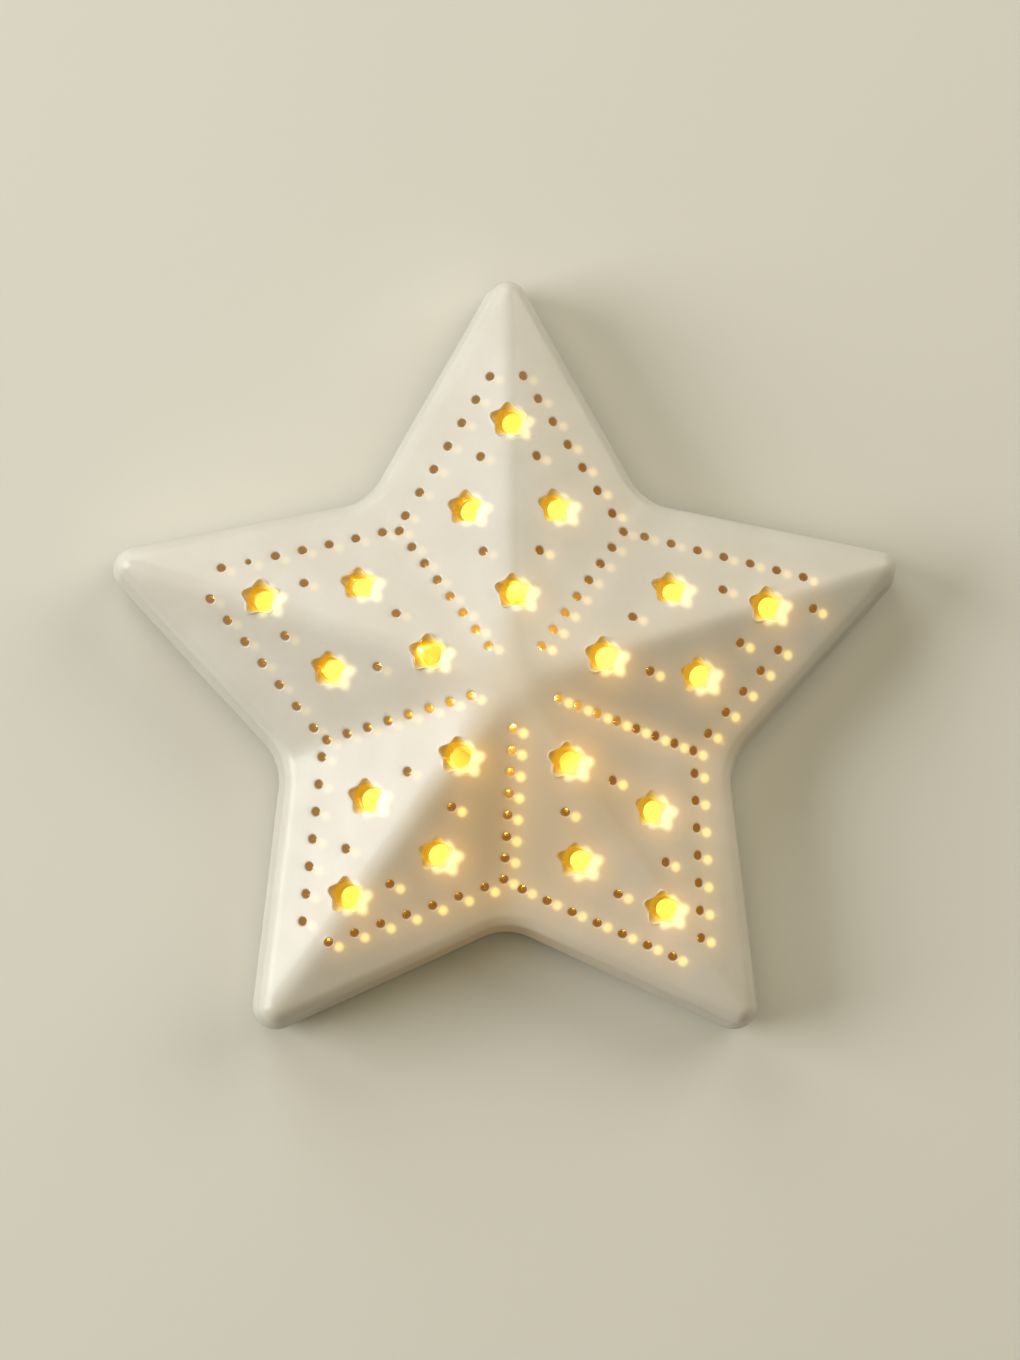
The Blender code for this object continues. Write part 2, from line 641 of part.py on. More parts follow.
def tealight(parent):
    """The LED tealight, standing in the tray's socket."""
    holder = empty("tealight_axis", (0, 0, RIM_HEIGHT), parent)
    wax = material("candle_wax_plastic", (0.86, 0.80, 0.66), 0.45)
    white = material("white_moulded_plastic", (0.80, 0.78, 0.72), 0.5)
    silicone = material("flame_silicone", (0.95, 0.72, 0.36), 0.35, transmission=0.6)
    epoxy = material("led_epoxy", (0.95, 0.80, 0.45), 0.15, transmission=0.7)
    laminate = material("board_laminate", (0.05, 0.20, 0.09), 0.4)
    steel = material("cell_steel", (0.62, 0.62, 0.60), 0.25, metallic=1.0)
    brass = material("contact_brass", (0.78, 0.60, 0.28), 0.3, metallic=1.0)
    dark = material("switch_plastic", (0.04, 0.04, 0.045), 0.45)
    red = material("wire_insulation", (0.45, 0.04, 0.03), 0.4)
    candle_shell(holder, wax)
    candle_floor(holder, white)
    flame_lens(holder, silicone)
    led(holder, epoxy)
    circuit_board(holder, laminate)
    battery_cell(holder, steel)
    battery_cover(holder, white)
    contacts(holder, brass)
    switch(holder, dark, dark)
    wire("switch_wire_1", holder, red, 1)
    wire("switch_wire_2", holder, red, -1)


def main():
    clear_scene()
    centre = empty("star_centre", (0, 0, 0))
    glaze = material("cream_glaze", (0.82, 0.78, 0.68), 0.2)
    felt = material("grey_felt", (0.30, 0.28, 0.25), 0.95)
    star_cover(centre, glaze)
    star_base(centre, glaze)
    felt_pads(centre, felt)
    tealight(centre)


main()
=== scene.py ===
"""Looks of the star tealight holder: glazed pierced cover, tray, felt pads and lit LED tealight.

Shapes are worked out in millimetres and become metres where a mesh is made. The frame's origin is the star's
centre on the table, +Z is up and +Y points along the first arm.
"""

import json
import math

import bmesh
import bpy
import numpy as np
from mathutils import Matrix, Vector, noise
from mathutils.geometry import delaunay_2d_cdt


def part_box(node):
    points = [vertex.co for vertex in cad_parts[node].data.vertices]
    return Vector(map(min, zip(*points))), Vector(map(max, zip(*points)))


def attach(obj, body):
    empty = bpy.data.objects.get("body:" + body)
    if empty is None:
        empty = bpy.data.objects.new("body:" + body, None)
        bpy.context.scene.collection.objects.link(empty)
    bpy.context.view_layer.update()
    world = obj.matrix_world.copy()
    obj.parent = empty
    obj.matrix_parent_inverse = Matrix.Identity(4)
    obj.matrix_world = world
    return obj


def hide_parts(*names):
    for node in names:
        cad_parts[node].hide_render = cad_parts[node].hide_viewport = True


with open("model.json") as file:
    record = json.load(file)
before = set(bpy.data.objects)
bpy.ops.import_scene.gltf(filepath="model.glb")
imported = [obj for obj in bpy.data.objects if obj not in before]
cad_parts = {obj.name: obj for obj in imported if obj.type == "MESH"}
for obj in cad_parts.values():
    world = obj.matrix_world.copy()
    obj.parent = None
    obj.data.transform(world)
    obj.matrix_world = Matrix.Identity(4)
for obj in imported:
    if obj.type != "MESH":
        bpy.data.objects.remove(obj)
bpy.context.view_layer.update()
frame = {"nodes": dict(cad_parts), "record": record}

MM = 0.001
NOISE_SEED = 1

noise.seed_set(NOISE_SEED)  # noise_vector is seeded from the clock otherwise, and no two runs would match


def box_mm(node):
    """Lowest and highest corner of a CAD node, in millimetres."""
    low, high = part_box(node)
    return np.array(low) / MM, np.array(high) / MM


COVER_LOW, COVER_HIGH = box_mm("star_cover")
TRAY_LOW, TRAY_HIGH = box_mm("star_base")
SHELL_LOW, SHELL_HIGH = box_mm("candle_shell")
LENS_LOW, LENS_HIGH = box_mm("flame_lens")

ARMS = 5
HALF_SECTOR = math.pi / ARMS
FIRST_ARM = math.pi / 2


# --- star outlines ---


class RoundedStar:
    """A five-armed outline with straight sides and an arc at each tip and notch."""

    def __init__(self, tip, notch, tip_fillet, notch_fillet, least_fillet=0.1):
        self.tip_half_angle = math.atan2(notch * math.sin(HALF_SECTOR), tip - notch * math.cos(HALF_SECTOR))
        self.side_normal = math.pi / 2 - self.tip_half_angle
        self.side = tip * math.sin(self.tip_half_angle)
        self.tip_fillet = tip_fillet
        self.notch_fillet = notch_fillet
        self.least_fillet = least_fillet

    def ring(self, inset, tip_steps, notch_steps, side_steps, first_arm=FIRST_ARM):
        """Plan points of the outline moved in by inset, anticlockwise."""
        side = self.side - inset
        tip_fillet = max(self.tip_fillet - inset, self.least_fillet)
        notch_fillet = max(self.notch_fillet + inset, self.least_fillet)
        half_turn = self.side_normal - HALF_SECTOR
        tip_centre = (side - tip_fillet) / math.sin(self.tip_half_angle)
        notch_centre = (side + notch_fillet) / math.cos(half_turn)
        pieces = []
        for arm in range(ARMS):
            axis = first_arm + 2 * HALF_SECTOR * arm
            valley = axis + HALF_SECTOR
            pieces.append(arc(tip_centre, axis, tip_fillet, axis, self.side_normal, tip_steps))
            pieces.append(arc(notch_centre, valley, notch_fillet, valley + math.pi, -half_turn, notch_steps))
        points = []
        for piece, following in zip(pieces, pieces[1:] + pieces[:1]):
            points.append(piece)
            share = np.arange(1, side_steps)[:, None] / side_steps
            points.append(piece[-1] * (1 - share) + following[0] * share)
        return np.concatenate(points)


def on_circle(angles):
    """The point of the unit circle at an angle, or one for each angle."""
    return np.stack((np.cos(angles), np.sin(angles)), -1)


def round_circle(steps):
    """Evenly spaced points of the unit circle, from +X."""
    return on_circle(np.linspace(0, 2 * math.pi, steps, endpoint=False))


def arc(distance, direction, radius, middle, half_turn, steps):
    """Points on an arc about a middle angle; its centre is at a distance from the origin in a direction."""
    centre = distance * on_circle(direction)
    return centre + radius * on_circle(np.linspace(middle - half_turn, middle + half_turn, steps + 1))


# --- size and form of the cover, from its CAD box ---

TIP_FILLET = 7.5
NOTCH_FILLET = 18.0
NOTCH_SHARE = 75.0 / 139.0  # notch radius over tip radius, both before rounding
WALL = 4.0
WALL_DRAFT = 2.4
ROOF_SLOPE = math.tan(math.radians(25.0))
APEX_SOFTENING = 1.0
SHOULDER_FILLET = 6.6
SHOULDER_STEPS = 8
RIM_FLARE = 0.55  # how far the wall is hollowed between shoulder and rim
RIM_FILLETS = ((1.1, 4), (0.9, 3))  # radius and steps, outside and inside
WALL_SHARES = (0.2, 0.4, 0.6, 0.8, 0.92, 1.0)  # where the side wall's rings lie between shoulder and rim
ROOF_EDGE_INSET = 6.5  # where the shoulder's curve has run out into the roof
INNER_EDGE_INSET = WALL_DRAFT + WALL + 2.0
WALL_DROP = WALL * math.hypot(1.0, ROOF_SLOPE)  # vertical thickness of the sloping roof

UNIT_STAR = RoundedStar(1.0, NOTCH_SHARE, 0.0, 0.0)
TIP_RADIUS = COVER_HIGH[1] + TIP_FILLET * (1 / math.sin(UNIT_STAR.tip_half_angle) - 1)
COVER = RoundedStar(TIP_RADIUS, TIP_RADIUS * NOTCH_SHARE, TIP_FILLET, NOTCH_FILLET, least_fillet=1.0)
RIM_HEIGHT = COVER_LOW[2]
APEX_HEIGHT = COVER_HIGH[2] + APEX_SOFTENING
EAVES_HEIGHT = APEX_HEIGHT - (COVER.side - WALL_DRAFT) * ROOF_SLOPE

# radii of the disc over which the roof's height is averaged
RIDGE_SOFTNESS = 5.6
VALLEY_SOFTNESS = 6.0
APEX_SOFTNESS = 11.0
APEX_SOFT_RADIUS = 34.0  # how far from the centre the apex's softness reaches
DISC_RINGS = ((0.3, 6), (0.6, 10), (0.95, 14))  # radius and number of samples
DISC_FALLOFF = 1.6
RING_STEPS = {"tip_steps": 16, "notch_steps": 20, "side_steps": 22}


def cover_ring(inset):
    """Plan points of the cover's outline moved in by inset."""
    return COVER.ring(inset, **RING_STEPS)


def folded_angle(x, y):
    """Angle from the nearest arm's axis, from minus half a sector to plus half a sector."""
    return (np.arctan2(y, x) - FIRST_ARM + HALF_SECTOR) % (2 * HALF_SECTOR) - HALF_SECTOR


def distance_out(x, y):
    """Distance from the centre, measured square to the nearest side of the star."""
    return np.hypot(x, y) * np.cos(np.abs(folded_angle(x, y)) - COVER.side_normal)


def flat_roof(x, y):
    """Height of the ten flat faces that meet in ridges and valleys."""
    return APEX_HEIGHT - distance_out(x, y) * ROOF_SLOPE


def smooth_step(low, high, value):
    """0 up to low, 1 from high on and a smooth rise between them."""
    t = np.clip((value - low) / (high - low), 0.0, 1.0)
    return t * t * (3 - 2 * t)


def disc_samples():
    """Offsets within a unit disc and their weights, heaviest at the middle."""
    offsets = [(0.0, 0.0, 1.0)]
    for radius, count in DISC_RINGS:
        weight = math.exp(-DISC_FALLOFF * radius * radius)
        for i in range(count):
            angle = 2 * math.pi * (i + 0.5 * radius) / count
            offsets.append((radius * math.cos(angle), radius * math.sin(angle), weight))
    total = sum(weight for _, _, weight in offsets)
    return [(dx, dy, weight / total) for dx, dy, weight in offsets]


DISC = disc_samples()


def roof(x, y):
    """Height of the roof with its ridges, valleys and apex softened, as the mean over a small disc."""
    x, y = np.asarray(x, float), np.asarray(y, float)
    towards_valley = smooth_step(0.25, 1.0, np.abs(folded_angle(x, y)) / HALF_SECTOR)
    near_apex = 1 - smooth_step(0.0, APEX_SOFT_RADIUS, np.hypot(x, y))
    reach = RIDGE_SOFTNESS + (VALLEY_SOFTNESS - RIDGE_SOFTNESS) * towards_valley
    reach = reach * (1 - near_apex) + APEX_SOFTNESS * near_apex
    return sum(weight * flat_roof(x + reach * dx, y + reach * dy) for dx, dy, weight in DISC)


def roof_rise(x, y, reach):
    """How much the roof rises over twice the reach, along X and along Y."""
    return roof(x + reach, y) - roof(x - reach, y), roof(x, y + reach) - roof(x, y - reach)


def roof_normal(x, y, reach=2.0):
    """The direction square to the roof at one place."""
    rise_x, rise_y = roof_rise(x, y, reach)
    return Vector((-float(rise_x), -float(rise_y), 2 * reach)).normalized()


# --- hole pattern ---

# Laid out off centre, with each arm turned a little. Places are along an arm, then to its side.
PATTERN_CENTRE = np.array((0.8, -0.35))
ARM_TURNS = np.radians((1.0, -1.1, -2.7, -2.1, -0.2))
EDGE_ROW = ((98.0, 5.3), (54.3, 32.6), 7)  # first place, last place and number of dots
VALLEY_ROW = (60.3, 14.2, 8)  # outermost and innermost distance and number of dots
DOT_PAIRS = ((72.1, 8.9), (41.7, 8.9))
STAR_PLACES = ((55.9, 14.2), (55.9, -14.2), (83.5, 0.0), (28.6, 0.0))
LEFT_ARM = 1
RIGHT_ARM = 4
CLOSED_DOT = (RIGHT_ARM, -1, 1)  # arm, side of the arm and place in the edge row
SHRUNK_DOT = (LEFT_ARM, -1, 1)
DOT_RADIUS = 1.42
SHRUNK_RADIUS = 0.95
DOT_POINTS = 20
LIP = 0.45  # radius of the holes' rounded lips
LIP_STEPS = 4
DOT_TAPER = 0.92  # how much narrower a dot's hole is inside than outside
STAR_HOLE = RoundedStar(6.6, 4.2, 1.3, 1.2)
STAR_STEPS = {"tip_steps": 4, "notch_steps": 3, "side_steps": 2}
STAR_RECESS = 0.9  # a star's points go this deep, and from BORE_TOP down its hole is round
BORE_TOP = 1.7
BORE_RADII = (4.0, 3.45)  # at its top and where it comes out inside
BORE_WAY = np.array((0.72, -0.28, -1.1))  # star holes are pierced downwards with a slight lean


class Hole:
    """One hole of the cover at a plan place, its mouth square to the roof and turned along its arm."""

    def __init__(self, plan, along, radius=None):
        self.plan = np.array(plan)
        self.radius = radius
        self.is_star = radius is None
        self.normal = roof_normal(*plan)
        self.centre = Vector((*plan, float(roof(*plan))))
        self.forward = (along - self.normal * along.dot(self.normal)).normalized()
        self.sideways = self.normal.cross(self.forward)

    def angle_to(self, dx, dy):
        """Direction of plan offsets, measured from the hole's own forward direction."""
        return np.arctan2(dy, dx) - math.atan2(self.forward.y, self.forward.x)

    def middle(self, depth):
        """The hole's centre at a depth below the roof."""
        square = np.array(self.centre - self.normal * min(depth, BORE_TOP if self.is_star else WALL))
        return square + BORE_WAY * max(0.0, depth - BORE_TOP) if self.is_star else square

    def section(self, inset, depth):
        """The hole's outline in its own plane at a depth, moved in by inset."""
        if not self.is_star:
            return (self.radius - inset - DOT_TAPER * max(0.0, depth) / WALL) * round_circle(DOT_POINTS)
        mouth = STAR_HOLE.ring(inset, first_arm=0.0, **STAR_STEPS)
        share = max(0.0, depth - BORE_TOP) / (WALL - BORE_TOP)
        radius = BORE_RADII[0] * (1 - share) + BORE_RADII[1] * share
        bore = mouth * radius / np.linalg.norm(mouth, axis=1, keepdims=True)
        closed = smooth_step(STAR_RECESS, BORE_TOP, depth)
        return mouth * (1 - closed) + bore * closed

    def ring(self, inset, depth):
        """World points of the outline at a depth below the roof."""
        section = self.section(inset, depth)
        across = section[:, :1] * np.array(self.forward) + section[:, 1:] * np.array(self.sideways)
        return self.middle(depth) + across


def dot_places(arm):
    """Place along the arm, place to its side and radius of each round hole of an arm and its valley."""
    first, last, count = np.array(EDGE_ROW[0]), np.array(EDGE_ROW[1]), EDGE_ROW[2]
    for side in (1, -1):
        for place in range(count):
            if (arm, side, place) == CLOSED_DOT:
                continue
            u, v = first + (last - first) * place / (count - 1)
            yield u, side * v, SHRUNK_RADIUS if (arm, side, place) == SHRUNK_DOT else DOT_RADIUS
    outer, inner, count = VALLEY_ROW
    valley = HALF_SECTOR + (ARM_TURNS[(arm + 1) % ARMS] - ARM_TURNS[arm]) / 2
    for place in range(count):
        distance = outer + (inner - outer) * place / (count - 1)
        yield distance * math.cos(valley), distance * math.sin(valley), DOT_RADIUS
    for u, v in DOT_PAIRS:
        yield u, v, DOT_RADIUS
        yield u, -v, DOT_RADIUS


def all_holes():
    """Every hole of the cover, arm by arm."""
    holes = []
    for arm in range(ARMS):
        axis = FIRST_ARM + 2 * HALF_SECTOR * arm + ARM_TURNS[arm]
        along = Vector((*on_circle(axis), 0))
        turn = Matrix.Rotation(axis, 2)
        for u, v, radius in dot_places(arm):
            holes.append(Hole(PATTERN_CENTRE + turn @ Vector((u, v)), along, radius))
        holes += [Hole(PATTERN_CENTRE + turn @ Vector(place), along) for place in STAR_PLACES]
    return holes


# --- mesh assembly ---


def add_object(name, data):
    """A new object in the scene."""
    made = bpy.data.objects.new(name, data)
    bpy.context.scene.collection.objects.link(made)
    return made


class MeshParts:
    """Points and faces gathered from several patches that share rings of points."""

    def __init__(self):
        self.blocks = []
        self.count = 0
        self.faces = []

    def add(self, points):
        """Adds points and returns their indices."""
        self.blocks.append(np.asarray(points, float))
        self.count += len(points)
        return np.arange(self.count - len(points), self.count)

    def bridge(self, *rings):
        """Quads between each closed ring and the next, all of equal length."""
        for lower, upper in zip(rings, rings[1:]):
            self.faces += np.stack((lower, np.roll(lower, -1), np.roll(upper, -1), upper), 1).tolist()

    def fan(self, ring, pole):
        """Triangles between a ring and the point in its middle."""
        middle = self.add([pole])[0]
        self.faces += [[int(a), int(b), int(middle)] for a, b in zip(ring, np.roll(ring, -1))]

    def points(self):
        return np.concatenate(self.blocks)

    def make(self, name, sharp=math.radians(40), attributes=None):
        """A mesh object in metres, facing out and shaded smooth between sharp edges."""
        mesh = bpy.data.meshes.new(name)
        mesh.from_pydata((self.points() * MM).tolist(), [], self.faces)
        bm = bmesh.new()
        bm.from_mesh(mesh)
        bmesh.ops.recalc_face_normals(bm, faces=bm.faces)
        bm.to_mesh(mesh)
        bm.free()
        mesh.shade_smooth()
        mesh.set_sharp_from_angle(angle=sharp)
        for key, values in (attributes or {}).items():
            layer = mesh.attributes.new(key, "FLOAT", "POINT")
            layer.data.foreach_set("value", np.asarray(values, np.float32))
        return add_object(name, mesh)


def fill_region(boundary, lips, filler):
    """Triangles inside the boundary and outside the lips, as points, faces, boundary and lip indices."""
    loops = [boundary, *lips]
    starts = np.cumsum([0] + [len(loop) for loop in loops])
    coords = [Vector(point) for point in np.concatenate([*loops, filler])]
    outlines = [list(range(start, end)) for start, end in zip(starts, starts[1:])]
    found = delaunay_2d_cdt(coords, [], outlines, 1, 1e-6, True)
    points, triangles, sources, owners = found[0], found[2], found[3], found[5]
    place = {old: new for new, olds in enumerate(sources) for old in olds}
    kept = [list(face) for face, owner in zip(triangles, owners) if list(owner) == [0]]
    used = sorted({corner for face in kept for corner in face})
    renumber = {old: new for new, old in enumerate(used)}
    faces = [[renumber[corner] for corner in face] for face in kept]
    rings = [np.array([renumber[place[i]] for i in outline]) for outline in outlines]
    return np.array([points[i][:] for i in used]), faces, rings[0], rings[1:]


def rounded_corner(before, corner, after, radius, steps):
    """Points that round a corner of a profile whose points are (distance, height)."""
    before, corner, after = Vector(before), Vector(corner), Vector(after)
    back, on = (before - corner).normalized(), (after - corner).normalized()
    half_angle = back.angle(on) / 2
    centre = corner + (back + on).normalized() * (radius / math.sin(half_angle))
    reach = radius / math.tan(half_angle)
    start = corner + back * reach - centre
    turn = start.angle_signed(corner + on * reach - centre)
    return [tuple(centre + Matrix.Rotation(-turn * i / steps, 2) @ start) for i in range(steps + 1)]


def rounded_path(corners, fillets):
    """A profile past its corners, each between the first and the last rounded by (radius, steps)."""
    points = []
    for before, corner, after, fillet in zip(corners, corners[1:], corners[2:], fillets):
        points += rounded_corner(before, corner, after, *fillet)
    return points


def level_ring(plan, height):
    """Plan points at a height, or each at its own."""
    return np.column_stack((plan, np.full(len(plan), height)))


# --- star cover ---

SPILL_SHIFT = np.array((3.15, -1.35))  # light seen beside each hole lies this way from it, in plan
WINDOW_WAY = on_circle(math.radians(155))
WARMEST = np.array((2.0, -38.0))  # where the glow between the holes is strongest
BRIGHTEST = np.array((4.0, -8.0))  # where most of the flame's light comes through
VALLEY_SHADE_CENTRE = np.array((4.0, -38.0))  # where the painted shade, a darker and warmer tint on faces turned from the window, is strongest

# Steps of the roof's lattice, and how far the crease step reaches.
SPILL_STEP = 0.62
CREASE_STEP = 1.24
OPEN_STEP = 2.48
INNER_STEP = 2.48
NEAR_RIDGE = 5.5
NEAR_VALLEY = 9.0
NEAR_CENTRE = 18.0
STAR_SPILL_AREA = (0.5, 8.6)  # share of SPILL_SHIFT where the fine lattice is centred, and its radius
DOT_SPILL_AREA = (0.6, 3.6)
STAR_CLEARANCE = (6.7, 1.6)  # lattice points stay this far from a star's centre, and so much less at notches
DOT_CLEARANCE = 0.3


def from_place(x, y, place):
    """Distance of plan points from a place."""
    return np.hypot(x - place[0], y - place[1])


def lattice(step):
    """Whole-number coordinates, X then Y, of a square lattice over the star."""
    half = math.ceil(TIP_RADIUS / step)
    return (part.ravel() for part in np.meshgrid(np.arange(-half, half + 1), np.arange(-half, half + 1)))


def filler_points(holes):
    """Lattice points over the roof: finest where light spills, finer along creases, coarse elsewhere."""
    i, j = lattice(SPILL_STEP)
    x, y = i * SPILL_STEP, j * SPILL_STEP
    step = np.full(len(x), OPEN_STEP)
    radius, angle = np.hypot(x, y), np.abs(folded_angle(x, y))
    near_ridge = radius * np.sin(angle) < NEAR_RIDGE
    near_valley = radius * np.sin(HALF_SECTOR - angle) < NEAR_VALLEY
    step[near_ridge | near_valley | (radius < NEAR_CENTRE)] = CREASE_STEP
    clear = distance_out(x, y) < COVER.side - ROOF_EDGE_INSET - 0.8
    for hole in holes:
        share, reach = STAR_SPILL_AREA if hole.is_star else DOT_SPILL_AREA
        step[from_place(x, y, hole.plan + SPILL_SHIFT * share) < reach] = SPILL_STEP
        clear &= from_place(x, y, hole.plan) > hole_reach(hole, x, y)
    coarse = np.rint(step / SPILL_STEP).astype(int)
    kept = clear & (i % coarse == 0) & (j % coarse == 0)
    return np.stack((x[kept], y[kept]), 1)


def hole_reach(hole, x, y):
    """How far from a hole's centre filler points must stay, for each plan point."""
    if not hole.is_star:
        return hole.radius + LIP + DOT_CLEARANCE
    angle = hole.angle_to(x - hole.plan[0], y - hole.plan[1])
    to_point = np.abs((angle + HALF_SECTOR) % (2 * HALF_SECTOR) - HALF_SECTOR) / HALF_SECTOR
    return STAR_CLEARANCE[0] - STAR_CLEARANCE[1] * np.sqrt(to_point)


def roof_patch(parts, edge_inset, holes, lip_inset, depth, drop, filler):
    """One face of the roof as triangles; returns the indices of its edge and of each hole's lip."""
    lips = [hole.ring(lip_inset, depth)[:, :2] for hole in holes]
    plan, faces, edge, lip_rings = fill_region(cover_ring(edge_inset), lips, filler)
    indices = parts.add(level_ring(plan, roof(*plan.T) - drop))
    parts.faces += [[int(indices[corner]) for corner in face] for face in faces]
    return indices[edge], [indices[ring] for ring in lip_rings]


def side_rings(parts):
    """Rings from the roof's outer edge down the outside, round the rim and up the inside, ends left out."""
    corner = (WALL_DRAFT, EAVES_HEIGHT)
    roof_point = (ROOF_EDGE_INSET, EAVES_HEIGHT + (ROOF_EDGE_INSET - WALL_DRAFT) * ROOF_SLOPE)
    shoulder = rounded_corner(roof_point, corner, (0.0, RIM_HEIGHT), SHOULDER_FILLET, SHOULDER_STEPS)
    start_inset, start_height = shoulder[-1]
    fall = RIM_HEIGHT + RIM_FILLETS[0][0] + 0.1 - start_height
    down = []
    for t in WALL_SHARES:
        flare = RIM_FLARE * 4 * t * (1 - t)
        down.append((start_inset * (1 - t) + flare, start_height + fall * t))
    above_rim = RIM_HEIGHT + 3
    under_rim = ((0.0, above_rim), (0.0, RIM_HEIGHT), (WALL, RIM_HEIGHT), (WALL, above_rim))
    rim = rounded_path(under_rim, RIM_FILLETS)
    inner_corner = Vector((WALL_DRAFT + WALL, EAVES_HEIGHT + WALL * ROOF_SLOPE - WALL_DROP))
    inner = rounded_corner((WALL, RIM_HEIGHT), inner_corner, inner_corner + Vector((1.0, ROOF_SLOPE)), 1.8, 4)
    rings = []
    lift = roof(*cover_ring(ROOF_EDGE_INSET).T) - roof_point[1]  # the softened roof's edge isn't level
    for (inset, height), level in zip(shoulder, np.linspace(0.12, 1.0, len(shoulder))):
        rings.append(level_ring(cover_ring(inset), height + lift * (1 - level)))
    for inset, height in [*down, *rim, *inner]:
        rings.append(level_ring(cover_ring(inset), height))
    return [parts.add(ring) for ring in rings]


OUTSIDE_RINGS = 2 + SHOULDER_STEPS + len(WALL_SHARES)  # rings from the roof's edge down the outside
STAR_DEPTHS = (STAR_RECESS, 1.15, 1.4, BORE_TOP, 2.2, 2.8, 3.4)
DOT_DEPTHS = (1.3, 2.4, 3.5)


def hole_walls(parts, hole, outer_lip, inner_lip):
    """The wall of a hole from its lip on the outside to its lip on the inside."""
    rings = [outer_lip]
    for i in range(1, LIP_STEPS + 1):
        turn = i / LIP_STEPS * math.pi / 2
        rings.append(parts.add(hole.ring(-LIP * (1 - math.sin(turn)), LIP * (1 - math.cos(turn)))))
    for depth in STAR_DEPTHS if hole.is_star else DOT_DEPTHS:
        rings.append(parts.add(hole.ring(0.0, depth)))
    rings.append(inner_lip)
    parts.bridge(*rings)
    return rings[1:-1]


def shade_share(x, y):
    """How far plan places face and lie away from the window light, from 0.1 to 1.2."""
    rise_x, rise_y = roof_rise(x, y, 1)
    facing = -(rise_x * WINDOW_WAY[0] + rise_y * WINDOW_WAY[1]) / (2 * ROOF_SLOPE)
    return np.clip(0.5 - 0.5 * facing + (0.3 * x - 0.6 * y) / 100.0, 0.1, 1.2)


def fading(distance, width):
    """1 at no distance, falling away smoothly over the width."""
    return np.exp(-((distance / width) ** 2))


SPOT_STEPS = (0.6, 2.15)  # a dot's spot is full up to the first radius and gone at the second
STAR_SPOT = (4.75, 0.8)  # mean radius of a star's spot, and how far its points stand out of it
STAR_SPOT_FADE = (1.7, 1.2)  # the spot fades from this far inside its outline to this far outside
DOT_HALO = (0.4, 4.5)  # strength and width
STAR_HALO = (1.2, 7.6)


def spill_values(points, holes):
    """Light beside the dots, beside the stars and as a haze, strongest in the shade, and painted shade round
    the lower valley.
    """
    x, y = points[:, 0], points[:, 1]
    dots = np.zeros(len(points))
    stars = np.zeros(len(points))
    halo = np.zeros(len(points))
    for hole in holes:
        lit = hole.plan + SPILL_SHIFT
        distance = from_place(x, y, lit)
        if hole.is_star:
            edge = STAR_SPOT[0] + STAR_SPOT[1] * np.cos(ARMS * hole.angle_to(x - lit[0], y - lit[1]))
            past_edge = smooth_step(edge - STAR_SPOT_FADE[0], edge + STAR_SPOT_FADE[1], distance)
            stars = np.maximum(stars, 1 - past_edge)
            halo += STAR_HALO[0] * fading(distance, STAR_HALO[1])
        else:
            dots = np.maximum(dots, 1 - smooth_step(*SPOT_STEPS, distance))
            halo += DOT_HALO[0] * fading(distance, DOT_HALO[1])
    shade = shade_share(x, y)
    from_warmest = from_place(x, y, WARMEST)
    in_valley = fading(from_warmest, 26.0)
    near_light = fading(from_place(x, y, BRIGHTEST), 30.0)
    lit = np.clip(shade + 0.7 * near_light, 0.2, 1.25)
    haze = shade * 0.10 * fading(from_warmest, 70.0) + 0.03 * in_valley + 0.04 * near_light
    haze += 0.27 * halo * (shade + 0.4 * near_light)
    # painted shade: a darker, warmer tint on the faces turned from the window, strongest round the lower
    # valley
    painted_valley_shade = np.clip(shade, 0.0, 1.0) * fading(from_place(x, y, VALLEY_SHADE_CENTRE), 37.0)
    return {
        "spill_dots": dots * lit * (1 + 0.3 * in_valley),
        "spill_stars": stars * (0.62 + 0.35 * lit + 0.3 * near_light),
        "haze": haze,
        "painted_valley_shade": painted_valley_shade,
    }


WALL_MARKS = ("wall", "star_wall", "bore", "facing", "near_light", "shade")
NEAR_LIGHT = (20.0, 46.0)  # the LED lights holes fully up to the first distance and none past the second


def wall_values(points, holes, walls):
    """Marks on the holes' walls, from 0 to 1; facing, from -1 to 1, is greatest on the spots' side."""
    marks = {name: np.zeros(len(points)) for name in WALL_MARKS}
    towards_spots = SPILL_SHIFT / np.linalg.norm(SPILL_SHIFT)
    for hole, rings in zip(holes, walls):
        bore_ring = LIP_STEPS + (STAR_DEPTHS.index(BORE_TOP) if hole.is_star else 0)
        for place, ring in enumerate(rings):
            across = points[ring][:, :2] - points[ring][:, :2].mean(axis=0)
            marks["wall"][ring] = min(1.0, place / (LIP_STEPS - 1))
            marks["star_wall"][ring] = float(hole.is_star)
            marks["bore"][ring] = float(place >= bore_ring)
            marks["facing"][ring] = across @ towards_spots / np.linalg.norm(across, axis=1).max()
            marks["near_light"][ring] = 1 - smooth_step(*NEAR_LIGHT, np.linalg.norm(hole.plan))
            marks["shade"][ring] = shade_share(*hole.plan)
    return marks


